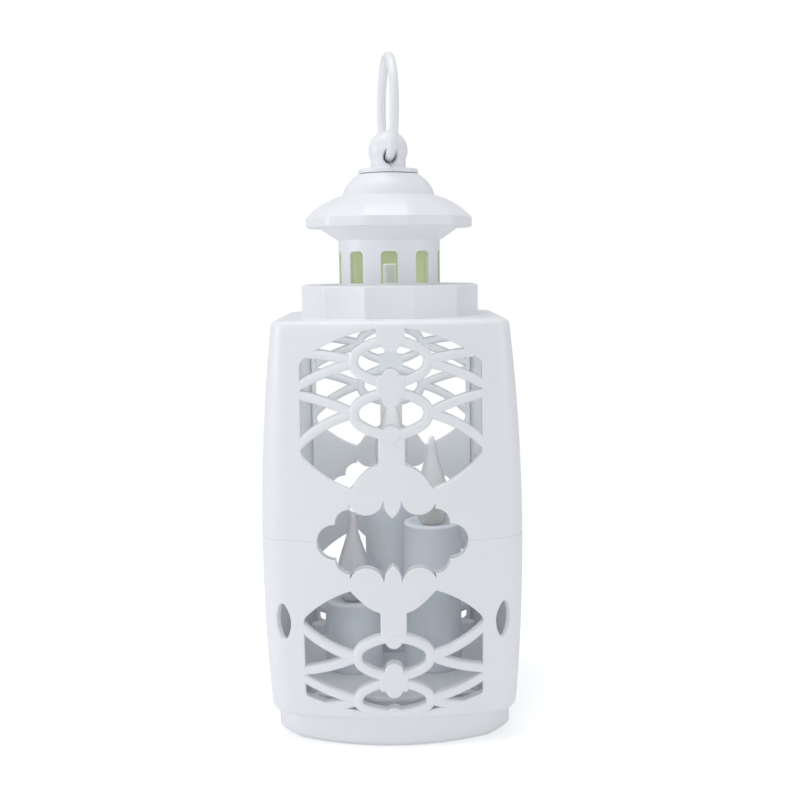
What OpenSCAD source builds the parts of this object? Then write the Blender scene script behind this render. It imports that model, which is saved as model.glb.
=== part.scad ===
// LED lantern: pierced barrel body on a round-cornered base, lobed collar,
// windowed cupola, twelve-sided roof and a split ball finial that holds the ring.
// Origin at the middle of the footprint, +Z up, front openwork facing -Y.

/* [Body] */
// Half width of the body at its widest
body_a = 52; // [46:0.5:60]
// Half depth of the body at its widest
body_b = 54; // [48:0.5:62]
// Plan radius of the front and back faces
face_r = 150; // [120:1:300]
// Distance of the body's corners from the middle
corner_reach = 64.5; // [61:0.25:67]
// Radius of the barrel curve seen from the side
barrel_r = 780; // [500:10:1500]
// Height of the widest point above the floor
belly_z = 76; // [60:1:95]
// Height of the body shells, both together
body_h = 157.5; // [145:0.5:175]
// Height of the seam between the two shells above the floor
seam_z = 84.5; // [78:0.5:92]
// Wall of the shells
wall = 2.4; // [1.8:0.1:3]
// Depth of the openwork bars
bar_d = 5; // [3.5:0.25:7]
// Rounding of the shells' bottom edge
foot_r = 3.5; // [2:0.25:4.5]
// Rounding of the shells' top edge
shoulder_r = 3; // [1.5:0.25:4]
// Thickness of the shells' top and bottom plates
plate_t = 2.6; // [2:0.1:3.5]

/* [Openwork] */
// Half width of the pierced panel
panel_w = 35; // [32:0.5:37]
// Height of the panel's arched top above the seam
panel_up = 82; // [80:0.5:82]
// Height of the arch at the panel's upper corners above the seam
panel_shoulder = 69; // [66:0.5:72]
// Depth of the panel's bottom below the seam
panel_down = 69.3; // [68:0.1:69.3]
// Depth of the panel's lower corners below the seam
panel_heel = 62.7; // [60:0.5:66]
// Width of the raised rim behind the panel's edge
rim_w = 2; // [1:0.25:2.25]
// How much shorter the lower half of the pattern is
low_k = 0.93; // [0.9:0.01:0.95]
// Width of a lattice strand
strand_w = 3.8; // [3:0.1:4.6]
// Half width of an eye ring's opening
eye_a = 12.4; // [11:0.1:13]
// Half height of an eye ring's opening
eye_b = 6.1; // [5.5:0.1:6.5]
// Height of the ring near the fan above the seam
eye_near = 49.6; // [49:0.1:50.5]
// Height of the ring near the arch above the seam
eye_far = 69.4; // [68.5:0.1:70]
// Width of the clasps between the rings
clasp_w = 11; // [9:0.2:13]
// Half width of a fan
fan_w = 15.5; // [14.5:0.1:16]
// Width of a corner hole
corner_hole_w = 6.4; // [4:0.2:8]
// Height of a corner hole
corner_hole_h = 14.6; // [10:0.2:18]

/* [Base] */
// Height of the base below the shells
base_h = 12; // [11.5:0.25:14]
// Half width of the base
base_a = 47.5; // [46:0.5:48]
// Half depth of the base
base_b = 48.5; // [47:0.5:50]
// Plan radius of the base's front and back
base_face_r = 82; // [76:1:110]
// Distance of the base's corners from the middle
base_reach = 54.9; // [54:0.1:57]
// How far the underside is set up into the base
recess_h = 3.2; // [2.9:0.1:3.6]
// Wall and floor of the base
base_wall = 2; // [1.8:0.1:2.4]
// Half width of the opening between the base and the shells
throat_a = 34; // [32:0.5:35]
// Distance of that opening's corners from the middle
throat_reach = 43; // [40:0.5:44]
// Distance of the base screws from the middle, both ways
base_screw_at = 35; // [34.5:0.25:35.5]

/* [Battery bay] */
// Diameter of an AAA cell
cell_d = 10.5; // [10:0.1:10.5]
// Length of an AAA cell with its button
cell_l = 44.5; // [44:0.1:44.5]
// Thickness of the sliding cover
cover_t = 1.6; // [1.2:0.1:1.8]
// Travel of the cover until it comes out of its rails
cover_travel = 8.5; // [8:0.25:9]

/* [Switch] */
// Travel of the slide switch
switch_travel = 4; // [2:0.25:4.5]
// Width of the switch knob along its travel
knob_w = 3; // [2:0.25:3.5]
// Distance of the switch behind the middle
switch_y = 27; // [26:0.25:28]

/* [Candles] */
// Diameter of a candle
candle_d = 24.4; // [22:0.2:26]
// Wall of a candle tube
candle_wall = 1.6; // [1.2:0.1:2.4]
// Distance of the left and right candles from the middle
candle_x = 17; // [15:0.5:19]
// Distance of the left and right candles towards the front
candle_y = 7; // [5:0.5:9]
// Distance of the rear candle behind the middle
rear_y = 19; // [18:0.5:21]
// Height of the left candle's top above the floor
left_top = 49; // [40:1:60]
// Height of the right candle's top above the floor
right_top = 82; // [65:1:90]
// Height of the rear candle's top above the floor
rear_top = 99.5; // [85:0.5:110]
// Height of a flame above its candle
flame_h = 36.5; // [28:0.5:40]
// Diameter of a flame at its widest
flame_d = 15; // [13:0.5:17]

/* [Collar and cupola] */
// Radius of the collar's ridges
collar_r = 37.7; // [35:0.1:39]
// Height of the collar
collar_h = 12.8; // [10:0.2:15]
// Depth of the collar's flutes
flute_d = 2.1; // [1.6:0.1:3]
// Radius of the cupola drum
drum_r = 21.2; // [20:0.1:22.5]
// Wall of the cupola
drum_wall = 2; // [1.6:0.1:2.4]
// Height of the drum above the collar
drum_h = 18.3; // [16:0.1:20]
// Number of windows round the drum
windows = 9; // [7:1:10]
// Width of a window
window_w = 6.9; // [5:0.1:8]
// Height of a window
window_h = 12.9; // [10:0.1:14]
// Diameter of the post inside the cupola
post_d = 5.6; // [5:0.1:8]
// Height of the post above the collar
post_h = 8.5; // [6:0.25:12]

/* [Roof] */
// Radius of the brim at its corners
brim_r = 35.3; // [33:0.1:37]
// Height of the brim's upright edge
brim_h = 3.8; // [3.2:0.1:5]
// Radius of the dome at its foot
dome_r = 19.2; // [18:0.1:21]
// Height of the slope from the brim to the dome
slope_h = 9.3; // [8:0.1:11]
// Height of the dome
dome_h = 8.7; // [7:0.1:10]
// Radius of the soffit where it meets the brim
soffit_r = 29; // [27:0.1:30]
// Height of the sloping soffit
soffit_h = 5.2; // [4:0.1:6]
// Wall of the roof
roof_wall = 2.2; // [1.8:0.1:2.6]

/* [Finial and ring] */
// Radius of the finial's flange
flange_r = 12.4; // [11:0.1:13.5]
// Radius of the ball
ball_r = 8.1; // [7.8:0.1:8.6]
// Height of the ball's centre above the flange's seat
ball_up = 9.8; // [9.6:0.1:11]
// Radius of the ring to the middle of its rod
ring_r = 20.4; // [18:0.1:23]
// Diameter of the ring's rod
rod_d = 3.7; // [3:0.1:4]
// How far the finial and ring are turned from the depth direction
ring_yaw = 7.5; // [0:0.5:30]

/* [Fits] */
// Gap between parts that fit together
fit = 0.3; // [0.2:0.05:0.4]
// Radial gap round a screw
pin_gap = 0.05; // [0.03:0.01:0.08]
// Diameter of the screws
screw_d = 2.9; // [2.5:0.1:3]
// Radial gap between the ring's rod and the finial
ring_gap = 0.1; // [0.08:0.01:0.15]
// Diameter of the screw heads
head_d = 5.6; // [5:0.1:5.8]

/* [Hidden] */
$fn = 96;
eps = 0.01;
far = 200;

body_top = base_h + body_h;
shell_floor = base_h + plate_t;
collar_top = body_top + collar_h;
drum_top = collar_top + drum_h;
brim_z = drum_top + soffit_h;
slope_z = brim_z + brim_h;
dome_z = slope_z + slope_h;
roof_top = dome_z + dome_h;
ball_z = roof_top + ball_up;
pivot_z = ball_z - 3.2;

// floor plate of the base, cells above the cover, bay over the cells
floor_z = recess_h;
floor_top = recess_h + base_wall;
cover_top = floor_z - fit / 2;
cell_z = cover_top + fit + cell_d / 2;
cell_pitch = cell_d + 0.4;
bay_wall = 1.4;
bay_x = cell_l / 2 + 1.6;
bay_y = 1.5 * cell_pitch;
bay_top = cell_z + cell_d / 2 + fit;
deck_z = max(bay_top + bay_wall, shell_floor) + 1.4;
deck_t = 2;
deck_top = deck_z + deck_t;
cover_y = bay_y + 1.2;
cover_x = bay_x + 2;
tab_pitch = 2 * cover_travel;
tab_l = 7;
tab_w = 1.8;
hook_t = 1.4;
hook_lip = 0.7;
lip_z = cover_top - cover_t - fit / 2 - hook_lip;

// screw bosses and the lip between base and lower shell
post_r = 3.2;
boss_r = 3.4;
boss_top = shell_floor + 9;
lip_h = 2.5;
lip_w = 1.4;
foot_w = 4.5;
base_foot_r = 2.5;
head_h = 1.8;

// board and switch over the floor behind the bay
board_x = 20;
board_y0 = bay_y + bay_wall + 0.5;
board_y1 = board_y0 + 15;
board_t = 1;
board_z = floor_top + 4;
board_post_x = 17;
board_post_y = board_y1 - 2.5;
board_post_d = 4.4;
knob_foot_l = knob_w + 3.4;
knob_foot_w = knob_w + 1.6;
knob_foot_h = 1.2;
knob_low_z = floor_z - 1.7;
slot_l = knob_w + switch_travel + fit;
slot_w = knob_w + fit;

// deck, candles and lamps
deck_a = 43;
deck_b = 44;
deck_face_r = 140;
deck_reach = 54;
plug_h = 5;
dish_h = 1;
lead_hole_d = 4.4;
led_d = 5;
led_h = 8.6;
lead_d = 0.6;

// collar, cupola and roof
flutes = 12;
collar_wall = 2;
collar_plate = 2.6;
groove_h = 1.4;
peg_x = 26;
peg_d = 4;
window_z = collar_top + 0.7;
seat_r = 31.6;
seat_t = 1.6;
slope_bulge = 1.25;
dome_bulge = 1.2;

// finial
stem_r = 4;
flange_t = 1.8;
neck_r = 7.2;
washer_t = 0.8;
finial_screw_l = 6;

// Plan with straight sides a, bowed front and back b of radius rho, corners cut at reach.
module plan(a, b, rho, reach) {
    intersection() {
        square([2 * a, 3 * b], center = true);
        translate([0, rho - b]) circle(rho);
        translate([0, b - rho]) circle(rho);
        circle(reach);
    }
}

module base_plan(inset) {
    plan(base_a - inset, base_b - inset, base_face_r - inset, base_reach - inset);
}

module throat_plan(inset) {
    plan(throat_a - inset, throat_a + 1 - inset, base_face_r - 12 - inset, throat_reach - inset);
}

// Upright outline of one face of a body: rad is the plan radius or half width at the
// widest height wide, d the inset, z0 and z1 the ends, r0 and r1 the rounds there.
function arc_x(rad, wide, d, z) = rad - barrel_r + sqrt(pow(barrel_r - d, 2) - pow(z - wide, 2));

module outline(rad, wide, d, z0, z1, r0, r1) {
    c0 = arc_x(rad, wide, d + r0, z0 + r0);
    c1 = arc_x(rad, wide, d + r1, z1 - r1);
    intersection() {
        translate([rad - barrel_r, wide]) circle(barrel_r - d, $fn = 720);
        translate([0, z0 + r0]) square([rad + 1, z1 - z0 - r0 - r1]);
    }
    if (r0 > 0) {
        translate([0, z0]) square([c0, r0 + eps]);
        translate([c0, z0 + r0]) circle(r0);
    }
    if (r1 > 0) {
        translate([0, z1 - r1 - eps]) square([c1, r1 + eps]);
        translate([c1, z1 - r1]) circle(r1);
    }
}

// Body with the plan a, b, rho, reach and barrelled sides, inset by d.
module swept(a, b, rho, reach, wide, d, z0, z1, r0 = 0, r1 = 0) {
    intersection() {
        rotate([90, 0, 0]) linear_extrude(3 * b, center = true)
            for (m = [0, 1]) mirror([m, 0]) outline(a, wide, d, z0, z1, r0, r1);
        turned_at(rho - b) outline(rho, wide, d, z0, z1, r0, r1);
        turned_at(b - rho) outline(rho, wide, d, z0, z1, r0, r1);
        rotate_extrude() outline(reach, wide, d, z0, z1, r0, r1);
    }
}

module turned_at(y) {
    translate([0, y, 0]) rotate_extrude() children();
}

module barrel(d, z0, z1, r0 = 0, r1 = 0) {
    swept(body_a, body_b, face_r, corner_reach, belly_z, d, z0, z1, r0, r1);
}

// Circle through p and q that stands out by s to the right of the way from p to q.
function bow_r(p, q, s) = (pow(norm(q - p) / 2, 2) + s * s) / (2 * s);
function bow_c(p, q, s) = (p + q) / 2
    + [p[1] - q[1], q[0] - p[0]] / norm(q - p) * (bow_r(p, q, s) - s);

module bow(p, q, s) {
    translate(bow_c(p, q, s)) circle(bow_r(p, q, s));
}

module strand(p, q, s) {
    c = bow_c(p, q, s);
    r = bow_r(p, q, s);
    intersection() {
        translate(c) difference() {
            circle(r + strand_w / 2);
            circle(r - strand_w / 2);
        }
        polygon([c, c + 1.6 * (p - c), c + 1.6 * (q - c)]);
    }
}

// Oval of four arcs, half width a and half height b, with round ends of radius r.
module oval(a, b, r) {
    big = (pow(a - r, 2) + b * b - r * r) / (2 * (b - r));
    x = (a - r) * big / (big - r);
    intersection() {
        translate([0, b - big]) circle(big);
        translate([0, big - b]) circle(big);
        square([2 * x, 3 * b], center = true);
    }
    for (s = [-1, 1]) translate([s * (a - r), 0]) circle(r);
}

module eye_ring(h) {
    translate([0, h]) difference() {
        oval(eye_a + strand_w, eye_b + strand_w, 5);
        oval(eye_a, eye_b, 3);
    }
}

// A block that clasps a ring, with a round-ended tongue below it.
module clasp(low, high, tongue) {
    w = clasp_w / 2;
    t = w - 1.8;
    translate([-w, low]) square([2 * w, high - low]);
    translate([-t, tongue + t]) square([2 * t, low - tongue - t + eps]);
    translate([0, tongue + t]) circle(t);
}

module fan(k) {
    top = 31 * k;
    rise = 10.6 * k;
    r = (fan_w * fan_w + rise * rise) / (2 * rise);
    lobe = 6.9;
    tip = 6.6;
    intersection() {
        translate([0, top - r]) circle(r);
        translate([-fan_w, top - rise - 4]) square([2 * fan_w, rise + 5]);
    }
    for (s = [-1, 1]) translate([s * 10.2, 10.65 * k + lobe]) circle(lobe);
    intersection() {
        translate([4.5, 9.6 * k + tip]) circle(8);
        translate([-4.5, 9.6 * k + tip]) circle(8);
    }
}

// One half of the pattern, upwards from the seam, its heights times k.
module half_pattern(k) {
    w = panel_w;
    tip = eye_a + strand_w / 2;
    for (m = [0, 1]) mirror([m, 0]) {
        strand([w + 3, 72.5 * k], [tip, 69.6 * k], 1);
        strand([w + 3, 58.6 * k], [tip, 69 * k], 1);
        strand([w + 3, 57 * k], [tip, 49.6 * k], 1);
        strand([w + 2.5, 35.6 * k], [tip, 49.8 * k], 2);
    }
    eye_ring(eye_near * k);
    eye_ring(eye_far * k);
    clasp(75.7 * k, 84 * k, 73.1 * k);
    clasp(56.2 * k, 64.4 * k, 51.9 * k);
    translate([0, 63.6 * k]) circle(3.4);
    translate([-clasp_w / 2 + 0.4, 28 * k]) square([clasp_w - 0.8, 14.8 * k]);
    translate([0, 41.4 * k]) circle(3);
    fan(k);
}

// The solid band between the eyes and the middle opening.
module band() {
    w = panel_w + 1.5;
    k = low_k;
    difference() {
        polygon([[-w, 35.4], [-15.3, 20.3], [15.3, 20.3], [w, 35.4],
            [w, -35.4 * k], [15.3, -20.3 * k], [-15.3, -20.3 * k], [-w, -35.4 * k]]);
        for (m = [0, 1]) mirror([m, 0]) {
            bow([-w, 35.4], [-15.3, 20.3], 2);
            bow([-15.3, -20.3 * k], [-w, -35.4 * k], 2);
            translate([22.4, 0]) circle(6.9);
            for (s = [1, -k]) translate([16.6, 7.4 * s]) circle(5.5);
        }
        translate([-16.5, -16.2 * k]) square([33, 16.2 * (1 + k)]);
    }
}

module panel(grow) {
    w = panel_w + grow;
    up = panel_up + grow;
    down = panel_down + grow;
    shoulder = panel_up - panel_shoulder;
    heel = panel_down - panel_heel;
    r_up = (panel_w * panel_w + shoulder * shoulder) / (2 * shoulder) + grow;
    r_down = (panel_w * panel_w + heel * heel) / (2 * heel) + grow;
    intersection() {
        translate([-w, 0]) square([2 * w, up]);
        translate([0, up - r_up]) circle(r_up);
    }
    intersection() {
        translate([-w, -down]) square([2 * w, down + eps]);
        translate([0, r_down - down]) circle(r_down);
    }
}

module openings() {
    difference() {
        panel(0);
        half_pattern(1);
        mirror([0, 1]) half_pattern(low_k);
        band();
    }
}

module through_panel(length) {
    translate([0, 0, seam_z]) rotate([90, 0, 0]) linear_extrude(length, center = true)
        children();
}

// Shell between z0 and z1, hollow from in0 to in1, with its front and back pierced.
module pierced(z0, z1, r0, r1, in0, in1) {
    difference() {
        barrel(0, z0, z1, r0, r1);
        difference() {
            barrel(wall, in0, in1);
            difference() {
                through_panel(4 * body_b) panel(rim_w);
                barrel(bar_d, z0 - 2, z1 + 2);
            }
        }
        through_panel(4 * body_b) openings();
    }
}

module corner_holes() {
    h = 32.8;
    for (sx = [-1, 1], sy = [-1, 1])
        translate([sx * 42.3, sy * (body_b - 12), seam_z - h])
            rotate([0, 0, sy < 0 ? sx * 30 : 180 - sx * 30]) rotate([90, 0, 0])
                translate([0, 0, -4]) linear_extrude(20) rotate(90 - sx * 4)
                    oval(corner_hole_h / 2, corner_hole_w / 2, 1.6);
}

module screw_spots() {
    for (x = [-1, 1], y = [-1, 1]) translate([x * base_screw_at, y * base_screw_at, 0])
        children();
}

module lower_lip() {
    difference() {
        translate([0, 0, base_h - lip_h]) linear_extrude(lip_h + eps) difference() {
            base_plan(base_wall + fit);
            base_plan(base_wall + fit + lip_w);
        }
        screw_spots() translate([0, 0, base_h - lip_h - 1]) cylinder(r = post_r + fit, h = lip_h + 1);
    }
}

module lower_shell() {
    color("white") difference() {
        union() {
            pierced(base_h, seam_z, foot_r, 0, shell_floor, seam_z + 1);
            screw_spots() translate([0, 0, base_h + eps]) cylinder(r = boss_r, h = boss_top - base_h);
            lower_lip();
        }
        corner_holes();
        translate([0, 0, base_h - 1]) linear_extrude(plate_t + 2) throat_plan(0);
        screw_spots() translate([0, 0, base_h - 1])
            cylinder(d = screw_d + 2 * pin_gap, h = boss_top - base_h);
    }
}

module upper_shell() {
    color("white") difference() {
        pierced(seam_z, body_top, 0, shoulder_r, seam_z - 1, body_top - plate_t);
        translate([0, 0, body_top - plate_t - 1])
            cylinder(d = screw_d + 2 * pin_gap, h = plate_t + 2);
        for (s = [-1, 1]) translate([s * peg_x, 0, body_top - plate_t - 1])
            cylinder(d = peg_d + fit, h = plate_t + 2);
    }
}

module base_skirt() {
    difference() {
        swept(base_a, base_b, base_face_r, base_reach, base_h, 0, 0, base_h, base_foot_r);
        translate([0, 0, -1]) linear_extrude(recess_h + 1) base_plan(foot_w);
        translate([0, 0, floor_top]) linear_extrude(base_h) base_plan(base_wall);
    }
}

module bay_walls() {
    x = bay_x + bay_wall;
    y = bay_y + bay_wall;
    translate([-x, -y, floor_top - eps]) cube([2 * x, 2 * y, bay_top + bay_wall - floor_top + eps]);
}

// Hooks under the floor that hold the cover's tabs.
module cover_hooks() {
    for (m = [0, 1]) mirror([0, m, 0]) for (i = [-1, 0, 1])
        translate([i * tab_pitch - tab_l / 2, cover_y + fit / 2, lip_z]) {
            translate([0, tab_w, 0]) cube([tab_l, hook_t, floor_z - lip_z + eps]);
            cube([tab_l, tab_w + eps, hook_lip]);
        }
}

module base_tray() {
    color("white") difference() {
        union() {
            base_skirt();
            bay_walls();
            cover_hooks();
            screw_spots() translate([0, 0, floor_top - eps])
                cylinder(r = post_r, h = base_h - floor_top + eps);
            for (s = [-1, 1]) translate([s * board_post_x, board_post_y, floor_top - eps])
                cylinder(d = board_post_d, h = board_z - floor_top + eps);
        }
        translate([-bay_x, -bay_y, floor_z - 1]) cube([2 * bay_x, 2 * bay_y, bay_top - floor_z + 1]);
        screw_spots() {
            translate([0, 0, -1]) cylinder(d = head_d + 2 * fit, h = recess_h + 1);
            cylinder(d = screw_d + 2 * pin_gap, h = far);
        }
        translate([-slot_l / 2, switch_y - slot_w / 2, floor_z - 1]) cube([slot_l, slot_w, base_wall + 2]);
    }
}

module battery_cover() {
    z = cover_top - cover_t;
    color("white") difference() {
        union() {
            translate([-cover_x, -cover_y, z]) cube([2 * cover_x, 2 * cover_y, cover_t]);
            for (m = [0, 1]) mirror([0, m, 0]) for (i = [-1, 0, 1])
                translate([i * tab_pitch - tab_l / 2 + fit, cover_y - eps, z])
                    cube([tab_l - 2 * fit, tab_w + eps, cover_t]);
        }
        // finger grip
        for (i = [0 : 3]) translate([cover_x - 9 + 1.8 * i, 0, z]) rotate([90, 0, 0])
            cylinder(r = 0.5, h = 16, center = true);
    }
}

// A cell lying along X, its button at the end that way points to.
module cell(y, way) {
    button_l = 1.2;
    translate([0, y, cell_z]) rotate([0, 90 * way, 0]) translate([0, 0, -cell_l / 2]) {
        color("silver") cylinder(d = cell_d, h = cell_l - button_l);
        color("silver") translate([0, 0, cell_l - button_l - eps]) cylinder(d = 3.8, h = button_l + eps);
    }
}

module cell_front() cell(-cell_pitch, 1);

module cell_middle() cell(0, -1);

module cell_rear() cell(cell_pitch, 1);

// Contact plate at one end of the bay: a coned spring for a flat end, a bump for a button.
module contacts(side) {
    plate = 0.5;
    reach = bay_x - cell_l / 2 - plate - 0.05;
    color("silver") mirror([side < 0 ? 1 : 0, 0, 0]) {
        translate([bay_x - plate, -bay_y + 0.6, cell_z - 4]) cube([plate, 2 * bay_y - 1.2, 8]);
        for (i = [-1, 0, 1]) translate([bay_x - plate + eps, i * cell_pitch, cell_z])
            rotate([0, -90, 0]) {
                flat_end = (i == 0 ? 1 : -1) * side > 0;
                if (flat_end) cylinder(r1 = 3.6, r2 = 2.2, h = reach + eps);
                else cylinder(r = 1.6, h = reach + eps);
            }
    }
}

module contacts_left() contacts(-1);

module contacts_right() contacts(1);

module circuit_board() {
    color("green") difference() {
        translate([-board_x, board_y0, board_z]) cube([2 * board_x, board_y1 - board_y0, board_t]);
        for (s = [-1, 1]) translate([s * board_post_x, board_post_y, board_z - 1])
            cylinder(d = 2.2, h = board_t + 2);
    }
}

module timer_chip() {
    l = 5;
    w = 3.9;
    h = 1.45;
    color("dimgray") translate([-9, switch_y, board_z + board_t]) {
        translate([-l / 2, -w / 2, 0]) cube([l, w, h]);
        for (m = [0, 1], i = [0 : 3]) mirror([0, m, 0])
            translate([-1.905 + 1.27 * i - 0.2, w / 2 - eps, 0]) cube([0.4, 1 + eps, 0.6]);
    }
}

module switch_case() {
    x = knob_foot_l / 2 + switch_travel / 2 + fit / 2;
    y = knob_foot_w / 2 + fit / 2;
    color("silver") difference() {
        translate([-x - 1, -y - 1 + switch_y, floor_top]) cube([2 * x + 2, 2 * y + 2, board_z - floor_top]);
        translate([-x, -y + switch_y, floor_top - 1]) cube([2 * x, 2 * y, knob_foot_h + 1 + fit]);
    }
}

module switch_knob() {
    foot_z = floor_top + fit / 2;
    color("white") translate([-switch_travel / 2, switch_y, 0]) {
        translate([-knob_foot_l / 2, -knob_foot_w / 2, foot_z])
            cube([knob_foot_l, knob_foot_w, knob_foot_h]);
        translate([-knob_w / 2, -knob_w / 2, knob_low_z]) cube([knob_w, knob_w, foot_z - knob_low_z + eps]);
    }
}

// Pan-head screw pointing up, the seat of its head at z = 0.
module screw(shank) {
    color("silver") difference() {
        union() {
            cylinder(d = screw_d, h = shank);
            translate([0, 0, -head_h]) cylinder(d = head_d, h = head_h);
        }
        for (a = [0, 90]) rotate([0, 0, a]) translate([-head_d / 3, -0.35, -head_h - 1])
            cube([head_d / 1.5, 0.7, head_h / 2 + 1]);
    }
}

module base_screws() {
    screw_spots() translate([0, 0, recess_h]) screw(boss_top - recess_h - 4);
}

module deck_plan(inset) {
    plan(deck_a - inset, deck_b - inset, deck_face_r - inset, deck_reach - inset);
}

module candle_spots() {
    for (s = [-1, 1]) translate([s * candle_x, -candle_y, 0]) children();
    translate([0, rear_y, 0]) children();
}

module candle_deck() {
    color("white") difference() {
        union() {
            translate([0, 0, deck_z]) linear_extrude(deck_t) deck_plan(0);
            translate([0, 0, shell_floor]) linear_extrude(deck_z - shell_floor + eps) difference() {
                deck_plan(1);
                deck_plan(2.6);
            }
            candle_spots() translate([0, 0, deck_z + eps])
                cylinder(d = candle_d - 2 * candle_wall - fit, h = deck_t + plug_h);
        }
        candle_spots() translate([0, 0, deck_z - 1]) cylinder(d = 5, h = deck_t + plug_h + 2);
        screw_spots() translate([0, 0, shell_floor - 1]) cylinder(r = boss_r + fit, h = far / 10);
    }
}

// Candle tube on the deck with a dished top and a hole for the lead.
module candle(x, y, top) {
    h = top - deck_top;
    r = candle_d / 2;
    edge = 1.2;
    color("ivory") translate([x, y, deck_top]) difference() {
        rotate_extrude() {
            square([r, h - edge]);
            square([r - edge, h]);
            translate([r - edge, h - edge]) circle(edge);
        }
        translate([0, 0, -1]) cylinder(r = r - candle_wall, h = h - candle_wall - dish_h + 1);
        translate([0, 0, h - dish_h]) cylinder(r1 = r - 3.6, r2 = r - 2.4, h = dish_h + eps);
        cylinder(d = lead_hole_d, h = far);
    }
}

module candle_left() candle(-candle_x, -candle_y, left_top);

module candle_right() candle(candle_x, -candle_y, right_top);

module candle_rear() candle(0, rear_y, rear_top);

// Teardrop flame standing in the candle's dish, hollow for its lamp.
module flame(x, y, top) {
    h = flame_h + dish_h;
    r = flame_d / 2;
    wide = 11;
    up = h - wide - 0.6;
    big = (up * up + r * r) / (2 * r);
    color("gold") translate([x, y, top - dish_h]) difference() {
        rotate_extrude() {
            intersection() {
                translate([r - big, wide]) circle(big, $fn = 360);
                square([r + 1, h - 2.2]);
            }
            intersection() {
                translate([0, h - 1.6]) circle(1.6);
                translate([0, h - 4]) square([4, 5]);
            }
        }
        translate([0, 0, -1]) cylinder(d = led_d + 1.6, h = led_h + 1.8);
    }
}

module flame_left() flame(-candle_x, -candle_y, left_top);

module flame_right() flame(candle_x, -candle_y, right_top);

module flame_rear() flame(0, rear_y, rear_top);

module led(x, y, top) {
    color("lightyellow") translate([x, y, top - dish_h]) {
        cylinder(d = led_d + 0.8, h = 1);
        cylinder(d = led_d, h = led_h - led_d / 2);
        translate([0, 0, led_h - led_d / 2]) rotate_extrude() intersection() {
            circle(led_d / 2);
            square(led_d);
        }
    }
}

module led_left() led(-candle_x, -candle_y, left_top);

module led_right() led(candle_x, -candle_y, right_top);

module led_rear() led(0, rear_y, rear_top);

// Two leads from a lamp down its candle, along under the deck and down to the board.
module leads(x, y, top) {
    pitch = 2.54;
    down = deck_z - 0.7;
    end = board_y0 + 2;
    color("silver") for (s = [-1, 1]) translate([x + s * pitch / 2, 0, 0]) {
        translate([0, y, down - lead_d / 2]) cylinder(d = lead_d, h = top - dish_h - down + lead_d / 2);
        translate([0, y - lead_d / 2, down]) rotate([-90, 0, 0]) cylinder(d = lead_d, h = end - y + lead_d);
        translate([0, end, board_z + board_t])
            cylinder(d = lead_d, h = down - board_z - board_t + lead_d / 2);
    }
}

module leads_left() leads(-candle_x, -candle_y, left_top);

module leads_right() leads(candle_x, -candle_y, right_top);

module leads_rear() leads(0, rear_y, rear_top);

// Fluted collar with its screw column, two pegs and the groove that the drum stands in.
module collar() {
    mid = 2 * collar_r * sin(180 / flutes);
    inner = collar_r - flute_d;
    sag = collar_r * cos(180 / flutes) - inner;
    r = (mid * mid / 4 + sag * sag) / (2 * sag);
    color("white") difference() {
        union() {
            difference() {
                translate([0, 0, body_top]) cylinder(r = collar_r, h = collar_h, $fn = 180);
                translate([0, 0, body_top - 1])
                    cylinder(r = inner - collar_wall, h = collar_h - collar_plate + 1);
            }
            translate([0, 0, body_top]) cylinder(d = post_d + 3, h = collar_h - 1);
            translate([0, 0, collar_top - 1]) cylinder(d = post_d, h = post_h + 1);
            for (s = [-1, 1]) translate([s * peg_x, 0, body_top - plate_t + 0.3])
                cylinder(d = peg_d, h = plate_t + collar_h - 1);
        }
        for (i = [1 : flutes]) rotate([0, 0, i * 360 / flutes])
            translate([inner + r, 0, body_top - 1]) cylinder(r = r, h = collar_h + 2, $fn = 360);
        translate([0, 0, collar_top - groove_h]) difference() {
            cylinder(r = drum_r + fit / 2, h = groove_h + 1);
            translate([0, 0, -1]) cylinder(r = drum_r - drum_wall - fit / 2, h = groove_h + 3);
        }
        translate([0, 0, body_top - 1]) cylinder(d = screw_d + 2 * pin_gap, h = collar_h + post_h);
    }
}

module collar_screw() {
    translate([0, 0, body_top - plate_t]) screw(plate_t + collar_h + post_h - 3);
}

module window_shape() {
    r = 1.7;
    translate([-window_w / 2, 0]) square([window_w, window_h - r]);
    translate([-window_w / 2 + r, 0]) square([window_w - 2 * r, window_h]);
    for (s = [-1, 1]) translate([s * (window_w / 2 - r), window_h - r]) circle(r);
}

// Drum with its windows, and the soffit that flares out to carry the roof.
module cupola() {
    low = collar_top - groove_h;
    color("white") difference() {
        union() {
            translate([0, 0, low]) cylinder(r = drum_r, h = drum_top - low + eps);
            translate([0, 0, drum_top]) cylinder(r1 = drum_r, r2 = soffit_r, h = soffit_h + eps);
            translate([0, 0, brim_z]) cylinder(r = seat_r, h = seat_t);
        }
        translate([0, 0, low - 1]) cylinder(r = drum_r - drum_wall, h = drum_top - low + 1 + eps);
        translate([0, 0, drum_top]) cylinder(r1 = drum_r - drum_wall, r2 = soffit_r - drum_wall,
            h = soffit_h + eps);
        translate([0, 0, brim_z]) cylinder(r = soffit_r - drum_wall, h = seat_t + 1);
        for (i = [0 : windows - 1]) rotate([0, 0, i * 360 / windows]) translate([0, 0, window_z])
            rotate([90, 0, 0]) linear_extrude(far) window_shape();
    }
}

module roof_side(a) {
    flat = brim_r * cos(15);
    rotate([90, 0, a]) linear_extrude(3 * brim_r, center = true) for (m = [0, 1]) mirror([m, 0]) {
        translate([0, brim_z]) square([flat, brim_h + eps]);
        intersection() {
            bow([flat, slope_z], [dome_r, dome_z], slope_bulge);
            translate([0, slope_z]) square([flat, slope_h]);
        }
    }
}

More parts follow.
